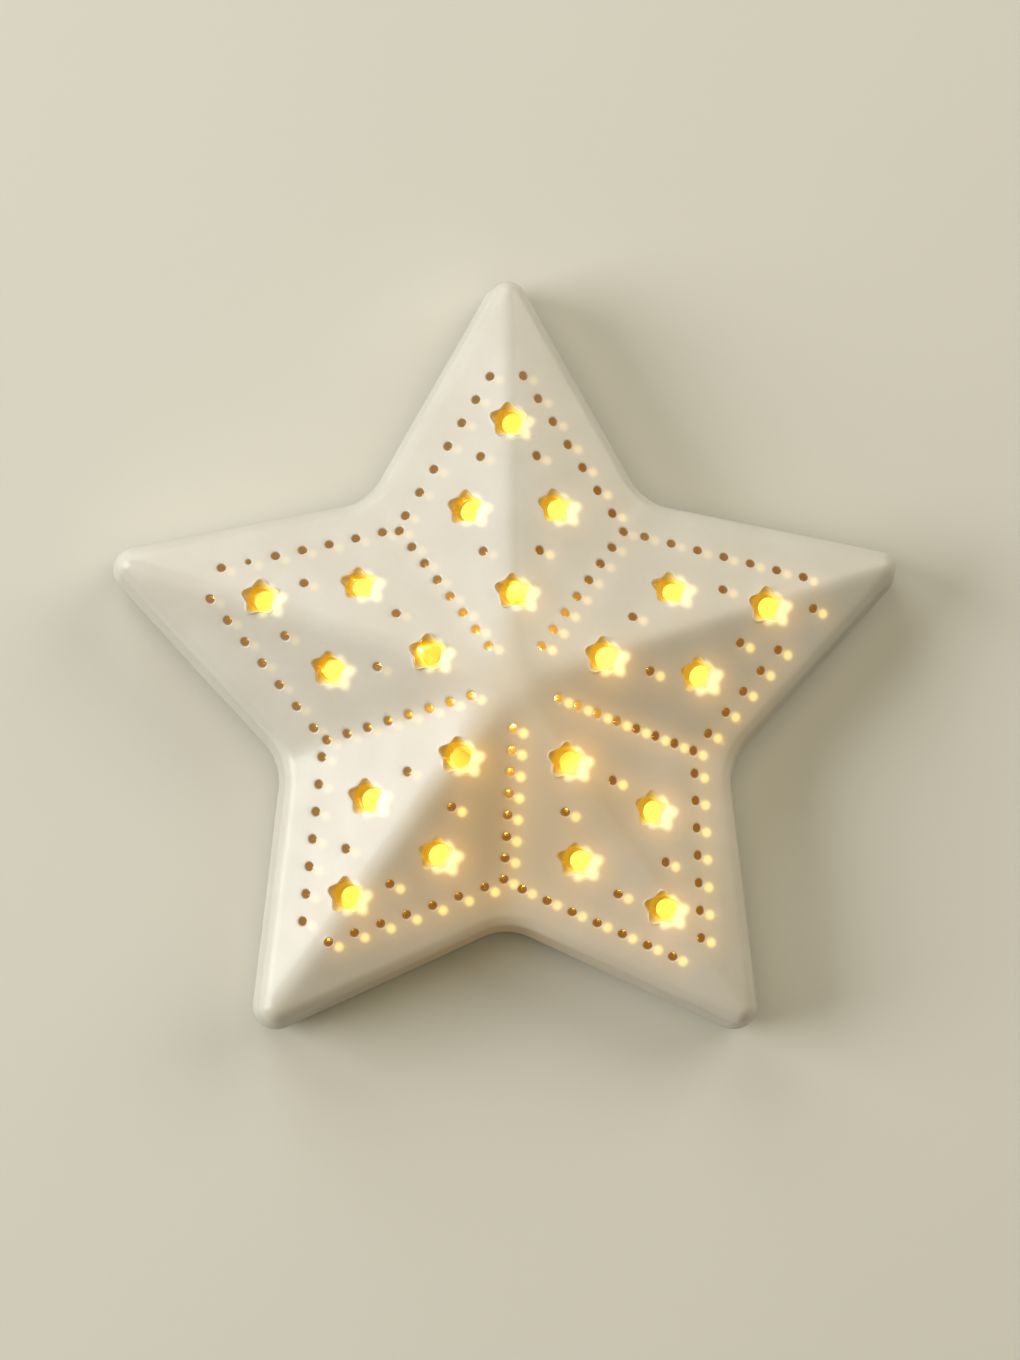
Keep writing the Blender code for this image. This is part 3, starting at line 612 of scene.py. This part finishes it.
def star_cover():
    """The pierced shell: two roof faces, the holes' walls between them and the side wall round them."""
    holes = all_holes()
    parts = MeshParts()
    face = (-LIP, 0.0, 0.0, filler_points(holes))
    outer, outer_lips = roof_patch(parts, ROOF_EDGE_INSET, holes, *face)
    face = (0.0, WALL, WALL_DROP, inner_filler(holes))
    inner, inner_lips = roof_patch(parts, INNER_EDGE_INSET, holes, *face)
    outside_count = len(parts.blocks[0])
    rings = [outer, *side_rings(parts), inner]
    parts.bridge(*rings)
    walls = [hole_walls(parts, *group) for group in zip(holes, outer_lips, inner_lips)]
    points = parts.points()
    outside = np.zeros(len(points))
    outside[:outside_count] = 1.0
    rounded_lips = [ring for wall in walls for ring in wall[:LIP_STEPS]]
    for ring in [*rings[1:OUTSIDE_RINGS], *rounded_lips]:
        outside[ring] = 1.0
    values = {"outside": outside}
    values.update({key: value * outside for key, value in spill_values(points, holes).items()})
    values.update(wall_values(points, holes, walls))
    roughen(parts)
    return parts.make("glazed_star_cover", sharp=math.radians(70), attributes=values)


def inner_filler(holes):
    """A coarse lattice for the inside of the roof."""
    x, y = (part * INNER_STEP for part in lattice(INNER_STEP))
    kept = distance_out(x, y) < COVER.side - INNER_EDGE_INSET - 1.5
    for hole in holes:
        radius = BORE_RADII[1] if hole.is_star else hole.radius
        kept &= from_place(x, y, hole.middle(WALL)) > radius + 0.9
    return np.stack((x[kept], y[kept]), 1)


# size, depth and start in the noise
BROAD_WAVE = (31.0, 0.2, Vector((3.1, 7.7, 1.3)))
SMALL_WAVE = (9.0, 0.035, Vector((11.0, 2.0, 5.0)))


def roughen(parts):
    """Moves every point a little by smooth noise, as a cast and hand-finished shell wavers."""
    for block in parts.blocks:
        for point in block:
            place = Vector(point)
            for size, depth, start in (BROAD_WAVE, SMALL_WAVE):
                point += np.array(noise.noise_vector(place / size + start)) * depth


# --- revolved pieces ---


def revolve(name, profile, steps=96, location=(0.0, 0.0), sharp=math.radians(50)):
    """A profile of (radius, height) points turned about a vertical axis: from axis to axis, or a loop."""
    parts = MeshParts()
    circle = round_circle(steps)
    poles = [(*location, height) for radius, height in profile if radius == 0]
    away = [(radius, height) for radius, height in profile if radius > 0]
    rings = [parts.add(level_ring(circle * radius + location, height)) for radius, height in away]
    parts.bridge(*rings)
    if not poles:
        parts.bridge(rings[-1], rings[0])
    for ring, pole in zip((rings[0], rings[-1]), poles):
        parts.fan(ring, pole)
    return parts.make(name, sharp=sharp)


# --- tray and pads ---

TRAY_INSET = 1.3
LIP_CLEARANCE = 1.2
LIP_WIDTH = 3.0
LIP_HEIGHT = 4.0
SOCKET_HEIGHT = 5.0
SOCKET_RADIUS = 20.25
SOCKET_WIDTH = 3.25
TRAY_TOP = TRAY_HIGH[2] - SOCKET_HEIGHT
TRAY_FILLETS = ((1.4, 5), (0.9, 4), (0.6, 3), (1.1, 5), (1.1, 5), (1.0, 3))  # radius and steps
SOCKET_FILLETS = ((0.9, 3), (1.1, 5), (1.1, 5), (0.4, 2))


def star_tray():
    """The tray with rounded edges, its locating lip and its socket ring."""
    bottom = TRAY_LOW[2]
    lip_out = WALL + LIP_CLEARANCE
    lip_in = lip_out + LIP_WIDTH
    lip_top = TRAY_TOP + LIP_HEIGHT
    foot_to_lip = [(20.0, bottom), (TRAY_INSET, bottom), (TRAY_INSET, TRAY_TOP), (lip_out, TRAY_TOP)]
    over_lip = [(lip_out, lip_top), (lip_in, lip_top), (lip_in, TRAY_TOP), (lip_in + 8, TRAY_TOP)]
    star_part = rounded_path(foot_to_lip + over_lip, TRAY_FILLETS)
    socket_out = SOCKET_RADIUS + SOCKET_WIDTH
    up_socket = [(socket_out + 8, TRAY_TOP), (socket_out, TRAY_TOP), (socket_out, TRAY_HIGH[2])]
    down_socket = [(SOCKET_RADIUS, TRAY_HIGH[2]), (SOCKET_RADIUS, TRAY_TOP), (0.0, TRAY_TOP)]
    socket = rounded_path(up_socket + down_socket, SOCKET_FILLETS)
    parts = MeshParts()
    rings = [parts.add(level_ring(cover_ring(inset), height)) for inset, height in star_part]
    circle = on_circle(np.arctan2(*cover_ring(0.0).T[::-1]))
    for radius, height in [*socket, (SOCKET_RADIUS / 2, TRAY_TOP)]:
        rings.append(parts.add(level_ring(radius * circle, height)))
    parts.bridge(*rings)
    parts.fan(rings[0], (0.0, 0.0, bottom))
    parts.fan(rings[-1], (0.0, 0.0, TRAY_TOP))
    lit = np.zeros(parts.count)
    first_lit = len(star_part) - 2
    for ring in rings[first_lit : first_lit + len(socket)]:
        lit[ring] = 1.0
    return parts.make("glazed_star_tray", attributes={"lit": lit})


PAD_FILLETS = ((0.7, 4), (0.35, 3))
PAD_SHARES = (0.0, 0.3, 0.6, 0.85)  # where the rings across a pad's faces lie, from its middle
FUZZ_SIZE = 0.8
FUZZ_DEPTH = 0.10


def felt_pad(node):
    """A pressed felt disc with a soft uneven edge."""
    low, high = box_mm(node)
    middle = (low + high) / 2
    radius = (high[0] - low[0]) / 2
    corners = ((0.0, high[2]), (radius, high[2]), (radius, low[2]), (0.0, low[2]))
    edge = rounded_path(corners, PAD_FILLETS)
    over = [(radius * share, high[2]) for share in PAD_SHARES]
    under = [(radius * share, low[2]) for share in reversed(PAD_SHARES)]
    name = node.replace("felt_pad", "soft_pad")
    pad = revolve(name, [*over, *edge, *under], steps=72, location=middle[:2])
    for vert in pad.data.vertices:
        fuzz = noise.noise_vector(vert.co / MM / FUZZ_SIZE)
        vert.co.x += fuzz.x * FUZZ_DEPTH * MM
        vert.co.y += fuzz.y * FUZZ_DEPTH * MM
    return pad


# --- tealight pieces ---

CANDLE_WALL = 1.5
CEILING_RISE = 13.6
FLAME_HOLE = 5.4
RIM_TO_BOWL = ((2.6, 0.35), (3.4, 0.9))  # inwards from the outside, and down from the top
BOWL_TO_HOLE = ((8.2, 1.25), (5.6, 1.5), (3.1, 1.7), (0.9, 1.8), (0.25, 2.0), (0.0, 2.5))  # out from the hole
SLUMP_SIZE = 6.0
SLUMP_DEPTH = 0.35


def candle_body():
    """The candle's shell with a rolled rim and a dished, slightly slumped top."""
    radius = (SHELL_HIGH[0] - SHELL_LOW[0]) / 2
    bottom, top = SHELL_LOW[2], SHELL_HIGH[2]
    ceiling = bottom + CEILING_RISE
    inner = radius - CANDLE_WALL
    foot = rounded_corner((inner, bottom), (radius, bottom), (radius, top), 0.5, 3)
    side = [(radius, bottom + (top - bottom) * t) for t in (0.25, 0.5, 0.75)]
    rim = rounded_corner((radius, bottom), (radius, top), (radius - 4, top - 0.2), 1.3, 6)
    bowl = [(radius - inwards, top - drop) for inwards, drop in RIM_TO_BOWL]
    bowl += [(FLAME_HOLE + out, top - drop) for out, drop in BOWL_TO_HOLE]
    inside = [(FLAME_HOLE, ceiling), (inner, ceiling), (inner, bottom)]
    shell = revolve("candle_body", [*foot, *side, *rim, *bowl, *inside], steps=128)
    for vert in shell.data.vertices:
        place = vert.co / MM
        if place.z > ceiling + 0.5:
            slump = noise.noise(Vector((place.x / SLUMP_SIZE, place.y / SLUMP_SIZE, 3.0)))
            share = smooth_step(ceiling + 0.5, top, place.z)
            vert.co.z += min(0.0, slump) * SLUMP_DEPTH * float(share) * MM
    return shell


# radius and distance below the tip; for the flange and the hollow, radius and height above the base
FLAME_TIP = ((0.0, 0.0), (0.35, 0.35), (0.8, 1.2), (1.35, 2.6), (2.0, 4.4), (2.75, 6.5), (3.45, 8.6))
FLAME_BELLY = ((4.05, 10.8), (4.55, 13.0), (4.92, 15.2), (5.06, 17.2), (5.02, 19.0), (4.9, 20.6))
FLAME_FLANGE = ((4.9, 1.1), (6.4, 1.1), (6.6, 0.9), (6.6, 0.2), (6.4, 0.0))
FLAME_HOLLOW = ((3.3, 0.0), (3.3, 4.0), (3.25, 8.0), (2.9, 11.0), (2.1, 13.4), (1.0, 14.7), (0.0, 15.0))
FOLD_START = 8.0  # height above the base
FOLDS = 3
FOLD_TWIST = 2.2
FOLD_DEPTH = 0.07


def flame():
    """The hollow silicone flame, with three soft folds that twist a little on their way up."""
    base, tip = LENS_LOW[2], LENS_HIGH[2]
    outline = [(radius, tip - drop) for radius, drop in (*FLAME_TIP, *FLAME_BELLY)]
    under = [(radius, base + height) for radius, height in (*FLAME_FLANGE, *FLAME_HOLLOW)]
    lens = revolve("silicone_flame", [*outline, *under], steps=64)
    for vert in lens.data.vertices:
        place = vert.co / MM
        rise = max(0.0, (place.z - (base + FOLD_START)) / (tip - base - FOLD_START))
        wave = math.cos(FOLDS * math.atan2(place.y, place.x) + FOLD_TWIST * rise)
        fold = wave * FOLD_DEPTH * math.sin(math.pi * rise)
        vert.co.x *= 1 + fold
        vert.co.y *= 1 + fold
    return lens


# --- materials ---


class Nodes:
    """A material whose node tree is built call by call."""

    def __init__(self, name):
        self.material = bpy.data.materials.new(name)
        self.material.use_nodes = True
        self.tree = self.material.node_tree
        self.tree.nodes.clear()

    def add(self, kind, **settings):
        """A node of this kind; settings are its inputs by name, or its own properties."""
        made = self.tree.nodes.new("ShaderNode" + kind)
        for key, value in settings.items():
            label = key.replace("_", " ")
            if label in made.inputs:
                self.put(made.inputs[label], value)
            else:
                setattr(made, key, value)
        return made

    def put(self, socket, value):
        """Links an output to an input, or sets the input's own value."""
        if isinstance(value, bpy.types.NodeSocket):
            self.tree.links.new(value, socket)
        elif isinstance(value, tuple) and len(value) == 3 and socket.type == "RGBA":
            socket.default_value = (*value, 1.0)
        else:
            socket.default_value = value

    def fed(self, made, *values):
        """The first output of a node whose first inputs are these."""
        for socket, value in zip(made.inputs, values):
            self.put(socket, value)
        return made.outputs[0]

    def math(self, operation, first, second=0.0):
        return self.fed(self.add("Math", operation=operation), first, second)

    def mix(self, factor, first, second):
        """A colour between two colours."""
        made = self.add("Mix", data_type="RGBA")
        self.put(made.inputs[0], factor)
        self.put(made.inputs[6], first)
        self.put(made.inputs[7], second)
        return made.outputs[2]

    def ramp(self, value, low, high, to_low=0.0, to_high=1.0):
        """A smooth rise from to_low to to_high as the value goes from low to high."""
        made = self.add("MapRange", interpolation_type="SMOOTHSTEP")
        return self.fed(made, value, low, high, to_low, to_high)

    def times(self, first, second):
        return self.math("MULTIPLY", first, second)

    def tinted(self, colour, tint, share, value, low, high):
        """A colour mixed with a share of a tint where the value rises from low to high."""
        return self.mix(self.ramp(value, low, high, 0.0, share), colour, tint)

    def scaled(self, colour, factor):
        return self.fed(self.add("VectorMath", operation="SCALE", Scale=factor), colour)

    def sum(self, first, second):
        return self.fed(self.add("VectorMath", operation="ADD"), first, second)

    def parts(self, vector):
        """The X, Y and Z outputs of a vector."""
        made = self.add("SeparateXYZ")
        self.put(made.inputs[0], vector)
        return made.outputs

    def place(self):
        """The place in the object's own coordinates, in metres."""
        return self.add("TexCoord").outputs["Object"]

    def noise(self, size_mm, detail=3.0, roughness=0.5, stretch=None):
        """Noise from 0 to 1 whose features are about size_mm across."""
        place = self.place()
        if stretch:
            place = self.add("Mapping", Vector=place, Scale=stretch).outputs[0]
        scale = 1 / (size_mm * MM)
        return self.add("TexNoise", Vector=place, Scale=scale, Detail=detail, Roughness=roughness).outputs[0]

    def specks(self, spacing_mm, size_share):
        """1 at scattered specks and 0 between them."""
        cells = self.add("TexVoronoi", Vector=self.place(), Scale=1 / (spacing_mm * MM))
        return self.ramp(cells.outputs["Distance"], size_share * 0.5, size_share, 1.0, 0.0)

    def bump(self, height, strength, distance_mm, after=None):
        made = self.add("Bump", Height=height, Strength=strength, Distance=distance_mm * MM)
        if after:
            self.put(made.inputs["Normal"], after)
        return made.outputs[0]

    def attribute(self, name):
        return self.add("Attribute", attribute_name=name).outputs["Fac"]

    def surface(self, colour, roughness, **settings):
        """The finished material: one Principled surface with these inputs."""
        shader = self.add("BsdfPrincipled", Base_Color=colour, Roughness=roughness, **settings)
        return self.finish(shader.outputs[0])

    def finish(self, shader):
        self.add("OutputMaterial", Surface=shader)
        return self.material


def glaze_base(nodes):
    """Colour, roughness and normal of the cream glaze: clouded, speckled and faintly orange-peeled."""
    cloud = nodes.noise(26.0)
    cream = nodes.mix(nodes.ramp(cloud, 0.35, 0.68), (0.565, 0.540, 0.472), (0.600, 0.580, 0.522))
    fine = nodes.noise(1.6, roughness=0.6)
    cream = nodes.tinted(cream, (0.48, 0.45, 0.37), 0.10, fine, 0.3, 0.8)
    iron = nodes.times(nodes.specks(5.2, 0.055), nodes.ramp(nodes.noise(17.0, detail=2.0), 0.52, 0.62))
    cream = nodes.mix(nodes.times(iron, 0.55), cream, (0.34, 0.24, 0.13))
    pinholes = nodes.specks(3.1, 0.05)
    cream = nodes.mix(nodes.times(pinholes, 0.16), cream, (0.42, 0.39, 0.31))
    roughness = nodes.ramp(nodes.noise(9.0), 0.3, 0.75, 0.36, 0.46)
    broad = nodes.bump(nodes.noise(7.5, detail=2.0), 0.35, 0.10)
    peel = nodes.bump(nodes.noise(1.1, detail=2.0), 0.25, 0.02, after=broad)
    pits = nodes.bump(pinholes, 0.5, -0.05, after=peel)
    return cream, roughness, pits


SEEN_FROM_SIDE = 0.12


def from_above(nodes, low, high):
    """1 where seen from above, falling to SEEN_FROM_SIDE as the view's upward part drops from high to low."""
    incoming = nodes.parts(nodes.add("NewGeometry").outputs["Incoming"])
    return nodes.ramp(incoming["Z"], low, high, SEEN_FROM_SIDE, 1.0)


COAT = {"Coat_Weight": 0.16, "Coat_Roughness": 0.12}
# painted shade: the glaze's colour is mixed towards this darker, warmer tint where faces turn from the window
# round the lower valley
PAINTED_SHADE_TINT = (0.43, 0.35, 0.22)
PAINTED_SHADE_SHARE = 0.75
INSIDE_OF_SHELL = (0.56, 0.47, 0.33)
DOT_SPOT_LIGHT = (0.60, 0.42, 0.08)
STAR_SPOT_LIGHT = (0.82, 0.70, 0.30)
HAZE_LIGHT = (1.0, 0.48, 0.07)
TRAY_LIGHT = (0.95, 0.53, 0.055)


def hole_light(nodes):
    """Colour of the holes' walls, painted dark as shade, and the light on them: amber at one side of a star,
    yellow at the other.
    """
    facing = nodes.ramp(nodes.attribute("facing"), -0.65, 0.5)
    bore = nodes.attribute("bore")
    star = nodes.attribute("star_wall")
    # painted shade: the walls' colours are near black in the dots, and on each star darker away from the
    # spots and lighter towards them
    bore_shaded_colour = nodes.mix(facing, (0.16, 0.08, 0.01), (0.45, 0.34, 0.08))
    star_shaded_colour = nodes.mix(bore, (0.20, 0.13, 0.05), bore_shaded_colour)
    colour = nodes.mix(star, (0.08, 0.045, 0.02), star_shaded_colour)
    bore_glow = nodes.mix(facing, (0.50, 0.25, 0.003), (0.95, 0.68, 0.06))
    ledge_glow = nodes.mix(facing, (0.33, 0.16, 0.02), (0.95, 0.78, 0.24))
    star_glow = nodes.mix(bore, ledge_glow, bore_glow)
    in_shade = nodes.ramp(nodes.attribute("shade"), 0.1, 0.6)
    dot_glow = nodes.mix(in_shade, (0.275, 0.148, 0.05), (0.235, 0.095, 0.014))
    dot_glow = nodes.mix(nodes.attribute("near_light"), dot_glow, (0.68, 0.35, 0.05))
    return colour, nodes.mix(star, dot_glow, star_glow)


def lit_glaze():
    """The cover's glaze, with warm light in its holes and spilling from them."""
    nodes = Nodes("cream_glaze_lit")
    cream, roughness, normal = glaze_base(nodes)
    wall = nodes.attribute("wall")
    # painted shade: darker, warmer glaze where faces turn from the window
    shade_tint_amount = nodes.times(nodes.attribute("painted_valley_shade"), PAINTED_SHADE_SHARE)
    shell = nodes.mix(nodes.attribute("outside"), INSIDE_OF_SHELL, nodes.mix(shade_tint_amount, cream, PAINTED_SHADE_TINT))
    wall_shaded_colour, wall_glow = hole_light(nodes)
    seen = from_above(nodes, 0.72, 0.95)
    dots = nodes.times(nodes.attribute("spill_dots"), seen)
    stars = nodes.times(nodes.attribute("spill_stars"), seen)
    spots = nodes.sum(nodes.scaled(DOT_SPOT_LIGHT, dots), nodes.scaled(STAR_SPOT_LIGHT, stars))
    glow = nodes.sum(spots, nodes.scaled(HAZE_LIGHT, nodes.attribute("haze")))
    # the holes' walls take their painted shade colour here
    colour = nodes.mix(wall, shell, wall_shaded_colour)
    light = {"Emission_Color": nodes.mix(wall, glow, wall_glow), "Emission_Strength": 1.0}
    return nodes.surface(colour, roughness, Normal=normal, **COAT, **light)


def tray_glaze():
    """The tray's glaze, with the light that its top catches inside the cover."""
    nodes = Nodes("cream_glaze_tray")
    cream, roughness, normal = glaze_base(nodes)
    place = nodes.parts(nodes.place())
    squares = [nodes.math("POWER", place[axis], 2.0) for axis in ("X", "Y")]
    reach = nodes.math("SQRT", nodes.math("ADD", *squares))
    out_in_arm = nodes.ramp(reach, 24 * MM, 90 * MM, 0.3, 1.0)
    seen = nodes.times(nodes.attribute("lit"), from_above(nodes, 0.86, 0.975))
    light = {"Emission_Color": nodes.scaled(TRAY_LIGHT, out_in_arm), "Emission_Strength": seen}
    return nodes.surface(cream, roughness, Normal=normal, **COAT, **light)


def felt_material():
    """Grey felt: light and dark fibres with a sheen."""
    nodes = Nodes("grey_felt_fibres")
    fibre = nodes.noise(0.35, detail=5.0, roughness=0.75)
    cloud = nodes.noise(2.6, detail=2.0)
    grey = nodes.mix(nodes.ramp(fibre, 0.3, 0.7), (0.16, 0.15, 0.135), (0.40, 0.375, 0.34))
    grey = nodes.tinted(grey, (0.27, 0.25, 0.22), 0.35, cloud, 0.3, 0.7)
    normal = nodes.bump(fibre, 0.8, 0.15)
    return nodes.surface(grey, 0.95, Normal=normal, Sheen_Weight=0.5)


def wax_plastic():
    """Ivory plastic with the clouds, streaks and glow of wax."""
    nodes = Nodes("ivory_wax_plastic")
    cloud = nodes.noise(8.0)
    ivory = nodes.mix(nodes.ramp(cloud, 0.3, 0.7), (0.86, 0.79, 0.64), (0.90, 0.85, 0.73))
    streak = nodes.noise(2.0, stretch=(1.0, 1.0, 0.25))
    ivory = nodes.tinted(ivory, (0.76, 0.67, 0.50), 0.22, streak, 0.45, 0.8)
    roughness = nodes.ramp(cloud, 0.3, 0.7, 0.34, 0.48)
    normal = nodes.bump(nodes.noise(1.4), 0.25, 0.06)
    under = {"Subsurface_Weight": 0.3, "Subsurface_Radius": (0.004, 0.0025, 0.0015), "Subsurface_Scale": 1.0}
    return nodes.surface(ivory, roughness, Normal=normal, **under)


def flame_material():
    """Amber silicone, brightest round the LED and redder towards the tip."""
    nodes = Nodes("flame_silicone_lit")
    rise = nodes.ramp(nodes.parts(nodes.place())["Z"], LENS_LOW[2] * MM, LENS_HIGH[2] * MM)
    streak = nodes.noise(3.0, detail=2.0, stretch=(1.0, 1.0, 0.3))
    amber = nodes.mix(rise, (1.0, 0.62, 0.22), (1.0, 0.42, 0.10))
    amber = nodes.tinted(amber, (1.0, 0.80, 0.45), 0.3, streak, 0.35, 0.75)
    power = nodes.ramp(rise, 0.25, 1.0, 6.0, 2.2)
    light = {"Emission_Color": amber, "Emission_Strength": power}
    return nodes.surface((0.95, 0.75, 0.45), 0.35, **light)


def moulded_plastic(name, colour, worn, roughness=0.42):
    """Moulded plastic with a faint grain, a shade of variation and scuffs."""
    nodes = Nodes(name)
    cloud = nodes.noise(5.0)
    tint = nodes.tinted(colour, worn, 0.5, cloud, 0.3, 0.75)
    grain = nodes.noise(0.45, roughness=0.6)
    rough = nodes.ramp(grain, 0.25, 0.8, roughness - 0.08, roughness + 0.1)
    return nodes.surface(tint, rough, Normal=nodes.bump(grain, 0.3, 0.02))


def brushed_metal(name, colour, dull):
    """Metal with fine rolled grain and slight tarnish."""
    nodes = Nodes(name)
    grain = nodes.noise(0.25, stretch=(1.0, 12.0, 1.0))
    tarnish = nodes.noise(3.0)
    tint = nodes.tinted(colour, dull, 0.6, tarnish, 0.4, 0.8)
    rough = nodes.ramp(grain, 0.2, 0.8, 0.18, 0.38)
    normal = nodes.bump(grain, 0.2, 0.01)
    return nodes.surface(tint, rough, Normal=normal, Metallic=1.0)


def board_material():
    """Solder mask over a faint glass weave."""
    nodes = Nodes("green_solder_mask")
    sizes = {"Brick_Width": 0.6 * MM, "Row_Height": 0.3 * MM, "Mortar_Size": 0.06 * MM}
    thread = nodes.add("TexBrick", Vector=nodes.place(), Scale=1.0, **sizes).outputs["Fac"]
    green = nodes.mix(nodes.times(thread, 0.3), (0.035, 0.17, 0.07), (0.06, 0.24, 0.11))
    return nodes.surface(green, 0.3, Normal=nodes.bump(thread, 0.25, 0.02))


def led_material():
    """Clear epoxy, lit from within."""
    nodes = Nodes("led_epoxy_lit")
    bubbles = nodes.noise(0.6, detail=2.0)
    tint = nodes.mix(bubbles, (1.0, 0.78, 0.42), (1.0, 0.88, 0.60))
    return nodes.surface(tint, 0.12, Emission_Color=tint, Emission_Strength=8.0)


def dress(piece, material):
    """Gives a piece one material, also where a CAD node's slots are linked to its object."""
    if not piece.data.materials:
        piece.data.materials.append(None)
    for place in piece.material_slots:
        place.link = "OBJECT"
        place.material = material


# --- stage ---

# in metres, apart from the sensor's width
TILT_SOUTH = math.radians(3.8)
TILT_WEST = math.radians(2.8)
CAMERA_DISTANCE = 1.2
AIM = Vector((0.00064, 0.00259, 0.022))
FRAME_WIDTH = 0.3222
SENSOR = 36.0
FLOOR_SIZE = 6.0
FLOOR_FADE = (0.27, 0.8)  # the floor passes into the air between these distances
AIR_COLOUR = (1.0, 0.93, 0.78)
AIR_LIGHT = 0.04  # the air's strength as a light
AIR_SEEN = 0.62  # and as a backdrop
LIGHT_DISTANCE = 2.3
WINDOW_COLOUR = (0.985, 0.985, 0.97)
LAMP_RISE = 3.6 * MM  # the glow's height over the flame's tip


def floor():
    """A plain pale floor that fades into the air, for the camera only, so that it shows no far edge."""
    bpy.ops.mesh.primitive_plane_add(size=FLOOR_SIZE, location=(0, 0, 0))
    ground = bpy.context.object
    ground.name = "studio_floor"
    nodes = Nodes("pale_floor")
    shade = nodes.mix(nodes.noise(300.0, detail=2.0), (0.60, 0.595, 0.542), (0.62, 0.615, 0.562))
    shader = nodes.add("BsdfPrincipled", Base_Color=shade, Roughness=0.75)
    reach = nodes.add("VectorMath", operation="LENGTH")
    nodes.put(reach.inputs[0], nodes.place())
    far = nodes.ramp(reach.outputs["Value"], *FLOOR_FADE)
    seen = nodes.times(far, nodes.add("LightPath").outputs["Is Camera Ray"])
    haze = nodes.add("Emission", Color=AIR_COLOUR, Strength=AIR_SEEN)
    blend = nodes.fed(nodes.add("MixShader"), seen, shader.outputs[0], haze.outputs[0])
    dress(ground, nodes.finish(blend))


def area_light(name, azimuth, elevation, size, power, colour):
    """A round soft light aimed at the star's centre; its azimuth is in degrees from +X towards +Y."""
    data = bpy.data.lights.new(name, "AREA")
    data.shape = "DISK"
    data.size = size
    data.energy = power
    data.color = colour
    made = add_object(name, data)
    around, up = math.radians(azimuth), math.radians(elevation)
    flat = math.cos(up)
    way = Vector((math.cos(around) * flat, math.sin(around) * flat, math.sin(up)))
    made.location = way * LIGHT_DISTANCE
    made.rotation_euler = (-made.location).to_track_quat("-Z", "Y").to_euler()


def studio():
    """Pale air, two soft window lights, a warm one overhead and a weaker one from the right."""
    world = bpy.data.worlds.new("studio_air")
    world.use_nodes = True
    nodes = world.node_tree.nodes
    air = nodes["Background"]
    air.inputs["Color"].default_value = (*AIR_COLOUR, 1.0)
    strength = nodes.new("ShaderNodeMapRange")
    strength.inputs["To Min"].default_value = AIR_LIGHT
    strength.inputs["To Max"].default_value = AIR_SEEN
    seen = nodes.new("ShaderNodeLightPath").outputs["Is Camera Ray"]
    world.node_tree.links.new(seen, strength.inputs["Value"])
    world.node_tree.links.new(strength.outputs[0], air.inputs["Strength"])
    bpy.context.scene.world = world
    area_light("window_left", 177, 28, 1.6, 48.5, WINDOW_COLOUR)
    area_light("window_upper", 118, 28, 1.6, 19.0, WINDOW_COLOUR)
    area_light("overhead", 0, 90, 1.9, 15.5, (1.0, 0.83, 0.50))
    area_light("far_wall", 38, 31, 1.7, 22.5, (1.0, 0.96, 0.84))


def glow_lamp():
    """The LED's light, just over the flame's tip, moving with the tealight."""
    data = bpy.data.lights.new("led_glow", "POINT")
    data.energy = 0.62
    data.color = (1.0, 0.60, 0.09)
    data.shadow_soft_size = 0.003
    made = add_object("led_glow", data)
    made.location = (0.0, 0.0, LENS_HIGH[2] * MM + LAMP_RISE)
    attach(made, "tealight")


def camera():
    """The view from above, leaning a few degrees south and west and FRAME_WIDTH across."""
    data = bpy.data.cameras.new("photo_camera")
    data.sensor_fit = "HORIZONTAL"
    data.sensor_width = SENSOR
    data.lens = SENSOR * CAMERA_DISTANCE / FRAME_WIDTH
    made = add_object("photo_camera", data)
    back = Vector((-math.tan(TILT_WEST), -math.tan(TILT_SOUTH), 1.0)).normalized()
    made.location = AIM + back * CAMERA_DISTANCE
    right = Vector((0, 1, 0)).cross(back).normalized()
    made.rotation_euler = Matrix((right, back.cross(right), back)).transposed().to_euler()
    bpy.context.scene.camera = made


# --- assembly ---


def stand_in(piece, node, body, material):
    """Puts a new piece in a CAD node's stead."""
    dress(piece, material)
    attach(piece, body)
    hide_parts(node)


def build_pieces():
    """The new pieces: cover, tray, pads, candle and flame."""
    stand_in(star_cover(), "star_cover", "cover", lit_glaze())
    stand_in(star_tray(), "star_base", "base", tray_glaze())
    felt = felt_material()
    for node in frame["record"]["behaviour"]["bodies"]["base"]:
        if node.startswith("felt_pad"):
            stand_in(felt_pad(node), node, "base", felt)
    stand_in(candle_body(), "candle_shell", "tealight", wax_plastic())
    stand_in(flame(), "flame_lens", "tealight", flame_material())


def dress_cad_nodes():
    """Materials for the CAD nodes that are shown as they are."""
    white = moulded_plastic("white_plastic_moulded", (0.82, 0.80, 0.74), (0.74, 0.71, 0.64))
    dark = moulded_plastic("dark_plastic_moulded", (0.035, 0.035, 0.04), (0.07, 0.07, 0.075))
    red = moulded_plastic("red_wire_insulation", (0.48, 0.03, 0.02), (0.36, 0.03, 0.02), roughness=0.35)
    brass = brushed_metal("contact_brass_sheet", (0.85, 0.64, 0.30), (0.50, 0.36, 0.16))
    steel = brushed_metal("cell_steel_plate", (0.70, 0.70, 0.68), (0.52, 0.51, 0.48))
    finishes = (
        (white, "candle_floor", "battery_cover"),
        (dark, "switch_body", "switch_knob"),
        (red, "switch_wire_1", "switch_wire_2"),
        (brass, "contact_negative", "contact_positive"),
        (steel, "battery_cell"),
        (board_material(), "circuit_board"),
        (led_material(), "led"),
    )
    for material, *nodes in finishes:
        for node in nodes:
            dress(frame["nodes"][node], material)


build_pieces()
dress_cad_nodes()
floor()
studio()
glow_lamp()
camera()
bpy.context.scene.view_settings.view_transform = "Standard"
